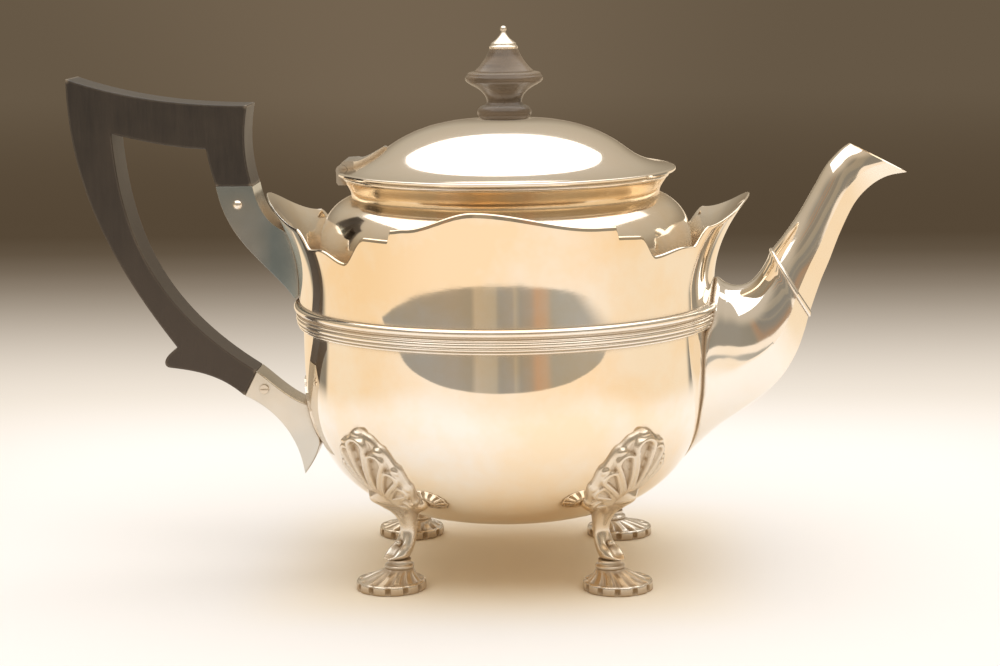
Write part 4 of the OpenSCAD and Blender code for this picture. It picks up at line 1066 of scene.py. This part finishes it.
def backdrop(distance):
    """What the camera sees at a distance in metres: paper, then dusk, then haze."""
    near = mixed(PAPER, DUSK, ease((distance - 0.17) / 0.73))
    return srgb(*mixed(near, HAZE, ease((distance - 0.8) / 1.8)))


def azimuth(tree, x, y):
    """0 to 1 round the pot: 0.5 towards the front (-Y), more to the right (+X)."""
    a = maths(tree, "ARCTAN2", x, maths(tree, "MULTIPLY", y, -1.0))
    return maths(tree, "MULTIPLY_ADD", a, 1 / (2 * math.pi), 0.5)


def at(degrees):
    """A bearing from the front, on azimuth's scale."""
    return 0.5 + degrees / 360


def stripes(tree, around, streaks=()):
    """The dull room in front, with a few pale and rusty uprights in it."""
    warm, pale = (0.38, 0.35, 0.30), (0.55, 0.48, 0.39)
    stops = [(at(-60), SLATE), (at(-24), (0.40, 0.36, 0.31)), (at(-15), warm), (at(-13), pale),
             (at(-3), (0.50, 0.45, 0.37)), (at(-1), SLATE), (at(6), (0.40, 0.37, 0.33)),
             (at(7.5), (0.52, 0.46, 0.37)), (at(9), SLATE), (at(15), (0.42, 0.36, 0.30)),
             (at(18), (0.56, 0.38, 0.26)), (at(23), (0.55, 0.41, 0.30)),
             (at(26), (0.42, 0.39, 0.33)), (at(44), (0.46, 0.43, 0.38))]
    colour = ramp(tree, around, stops)
    for start, width, tone in streaks:
        band = maths(tree, "ABSOLUTE", maths(tree, "SUBTRACT", around, at(start)))
        band = smooth_step(tree, band, width / 360, 0.25 * width / 360)
        colour = blend(tree, band, colour, tone)
    return colour


def size_to(tree, value, power):  # the value's size, to a power
    return maths(tree, "POWER", maths(tree, "ABSOLUTE", value), power)


def floor_material():
    """Pale paper that takes the shadow near the pot, painted warmer under it as a painted shadow
    colour, and far off glows with its own colour.

    The camera sees it fade into the backdrop; the silver sees it pale, with the dull
    ellipse and two bands to the sides of the pot.
    """
    material, tree, shader = new_material("studio_floor", "stage")
    tree.nodes.remove(shader)
    place = add(tree, "ShaderNodeNewGeometry").outputs["Position"]
    split = add(tree, "ShaderNodeSeparateXYZ", {"Vector": place})
    x, y = split.outputs["X"], split.outputs["Y"]
    power = 6  # distance is measured in rounded squares
    far = maths(tree, "ADD", size_to(tree, x, power), size_to(tree, y, power))
    far = maths(tree, "POWER", far, 1 / power)
    steps = [0.2 * 1.12 ** k for k in range(25)]
    faded = ramp(tree, maths(tree, "DIVIDE", far, SPAN), [(d / SPAN, backdrop(d)) for d in steps])
    behind = maths(tree, "DIVIDE", x, maths(tree, "ABSOLUTE", y))
    behind = maths(tree, "ABSOLUTE", maths(tree, "ADD", behind, 0.1))
    middle = maths(tree, "MULTIPLY", smooth_step(tree, behind, 0.2, 0.0),
                   smooth_step(tree, far, 0.6, 1.6))
    faded = blend(tree, middle, faded, GLOW_BEHIND, "MULTIPLY")
    around = azimuth(tree, x, y)
    across = size_to(tree, maths(tree, "DIVIDE", x, DULL_X), 2.0)
    deep = maths(tree, "DIVIDE", maths(tree, "ADD", y, DULL_AHEAD), DULL_Y)
    deep = size_to(tree, deep, 2.0)
    inside = smooth_step(tree, maths(tree, "ADD", across, deep), 1.02, 0.98)
    edge = maths(tree, "MULTIPLY_ADD", maths(tree, "MULTIPLY", x, x), DULL_BOW, DULL_START)
    near = smooth_step(tree, maths(tree, "SUBTRACT", edge, y), -0.004, 0.004)
    front = maths(tree, "MULTIPLY", inside, near)
    left = maths(tree, "MULTIPLY_ADD", smooth_step(tree, x, *DULL_FADE), -1.0, 1.0)
    front = maths(tree, "MULTIPLY", front, left)
    sides = ramp(tree, around, [(at(-127), 0.0), (at(-124), 1.0), (at(-112), 1.0),
                                (at(-109), 0.0), (at(115), 0.0), (at(118), 1.0),
                                (at(140), 1.0), (at(144), 0.0)])
    sides = maths(tree, "MULTIPLY", sides, smooth_step(tree, far, 0.2, 0.3))
    ahead = maths(tree, "ABSOLUTE", maths(tree, "SUBTRACT", around, 0.5))
    cream = blend(tree, smooth_step(tree, ahead, 0.22, 0.08), CREAM, CREAM_AHEAD)
    seen = blend(tree, sides, cream, BAND)
    seen = blend(tree, front, seen, stripes(tree, around))
    path = add(tree, "ShaderNodeLightPath")
    colour = blend(tree, path.outputs["Is Camera Ray"], seen, faded)
    glow = add(tree, "ShaderNodeEmission", {"Color": colour})
    # under the pot the paper is painted warmer, as a painted shadow colour
    under = smooth_step(tree, far, 0.09, 0.03)
    tone = blend(tree, under, NEAR, PAINTED_SHADOW_WARMTH)
    paper = add(tree, "ShaderNodeBsdfDiffuse", {"Color": tone})
    reach = smooth_step(tree, far, 0.16, 0.30)
    shader = add(tree, "ShaderNodeMixShader", {0: reach, 1: paper.outputs[0], 2: glow.outputs[0]})
    tree.links.new(shader.outputs[0], tree.nodes["Material Output"].inputs["Surface"])
    return material


mesh = bpy.data.meshes.new("studio_floor")
corners = [(u * FLOOR_HALF, v * FLOOR_HALF, 0) for u, v in ((-1, -1), (1, -1), (1, 1), (-1, 1))]
mesh.from_pydata(corners, [], [(0, 1, 2, 3)])
mesh.materials.append(floor_material())
floor = placed("studio_floor", mesh)
floor.location.z = -FLOOR_DROP

world = bpy.data.worlds.new("studio")
bpy.context.scene.world = world
world.use_nodes = True
tree = world.node_tree
split = add(tree, "ShaderNodeSeparateXYZ",
            {"Vector": add(tree, "ShaderNodeTexCoord").outputs["Generated"]})
back = ramp(tree, split.outputs["Z"], [(0.0, (0.26, 0.20, 0.135)), (0.12, (0.34, 0.28, 0.20)),
                                       (0.30, (0.50, 0.43, 0.33)), (0.62, (0.60, 0.52, 0.42)),
                                       (1.0, (0.60, 0.54, 0.45))])
around = azimuth(tree, split.outputs["X"], split.outputs["Y"])
ahead = smooth_step(tree, split.outputs["Y"], 0.1, -0.55)
rise = smooth_step(tree, split.outputs["Z"], 0.55, 0.30)
rust, tan = (0.72, 0.42, 0.25), (0.66, 0.54, 0.40)
ROOM_SEEN, ROOM_LIGHT, ROOM_DIM = srgb(104, 90, 72), (0.54, 0.46, 0.39), (0.70, 0.68, 0.64)
dim = stripes(tree, around, [(-46, 1.6, rust), (-40, 1.0, tan), (-34, 1.8, rust), (-27, 1.0, tan)])
dim = blend(tree, 1.0, dim, ROOM_DIM, "MULTIPLY")
room = blend(tree, maths(tree, "MULTIPLY", ahead, rise), back, dim)
path = add(tree, "ShaderNodeLightPath")
room = blend(tree, path.outputs["Is Diffuse Ray"], room, ROOM_LIGHT)
room = blend(tree, path.outputs["Is Camera Ray"], room, ROOM_SEEN)
tree.links.new(room, tree.nodes["Background"].inputs["Color"])


def soft_light(name, place, size, watts, aim, colour):
    """A rectangular lamp at place, turned to aim, that the camera doesn't see."""
    light = bpy.data.lights.new(name, "AREA")
    light.shape = "RECTANGLE"
    light.size, light.size_y = size
    light.energy = watts
    light.color = colour
    obj = placed(name, light)
    obj.location = place
    obj.rotation_euler = (Vector(aim) - Vector(place)).to_track_quat("-Z", "Y").to_euler()
    obj.visible_camera = False


soft_light("overhead", (0, 0, 0.63), (1.15, 1.05), 5.6, aim=(0, 0, 0), colour=(0.93, 0.95, 0.97))


# ---- camera at the photograph's place ----

EYE = Vector((39.8, -745.3, 193.7)) * MM
TARGET = Vector((-2.28, 0, 73.29)) * MM
ROLL = -0.76
camera = bpy.data.cameras.new("camera")
camera.sensor_fit = "HORIZONTAL"
camera.sensor_width = 36.0
camera.lens = 86.4
camera.clip_start = 0.01
camera.clip_end = 60
camera_object = placed("camera", camera)
look = (TARGET - EYE).normalized()
right = look.cross(Vector((0, 0, 1))).normalized()
up = right.cross(look)
across = right * cosd(ROLL) + up * sind(ROLL)
upward = -right * sind(ROLL) + up * cosd(ROLL)
basis = camera_object.matrix_world.copy().to_3x3()
for i, axis in enumerate((across, upward, -look)):
    basis.col[i] = axis
camera_object.matrix_world = basis.to_4x4()
camera_object.location = EYE
bpy.context.scene.camera = camera_object

bpy.context.scene.view_settings.view_transform = "Standard"
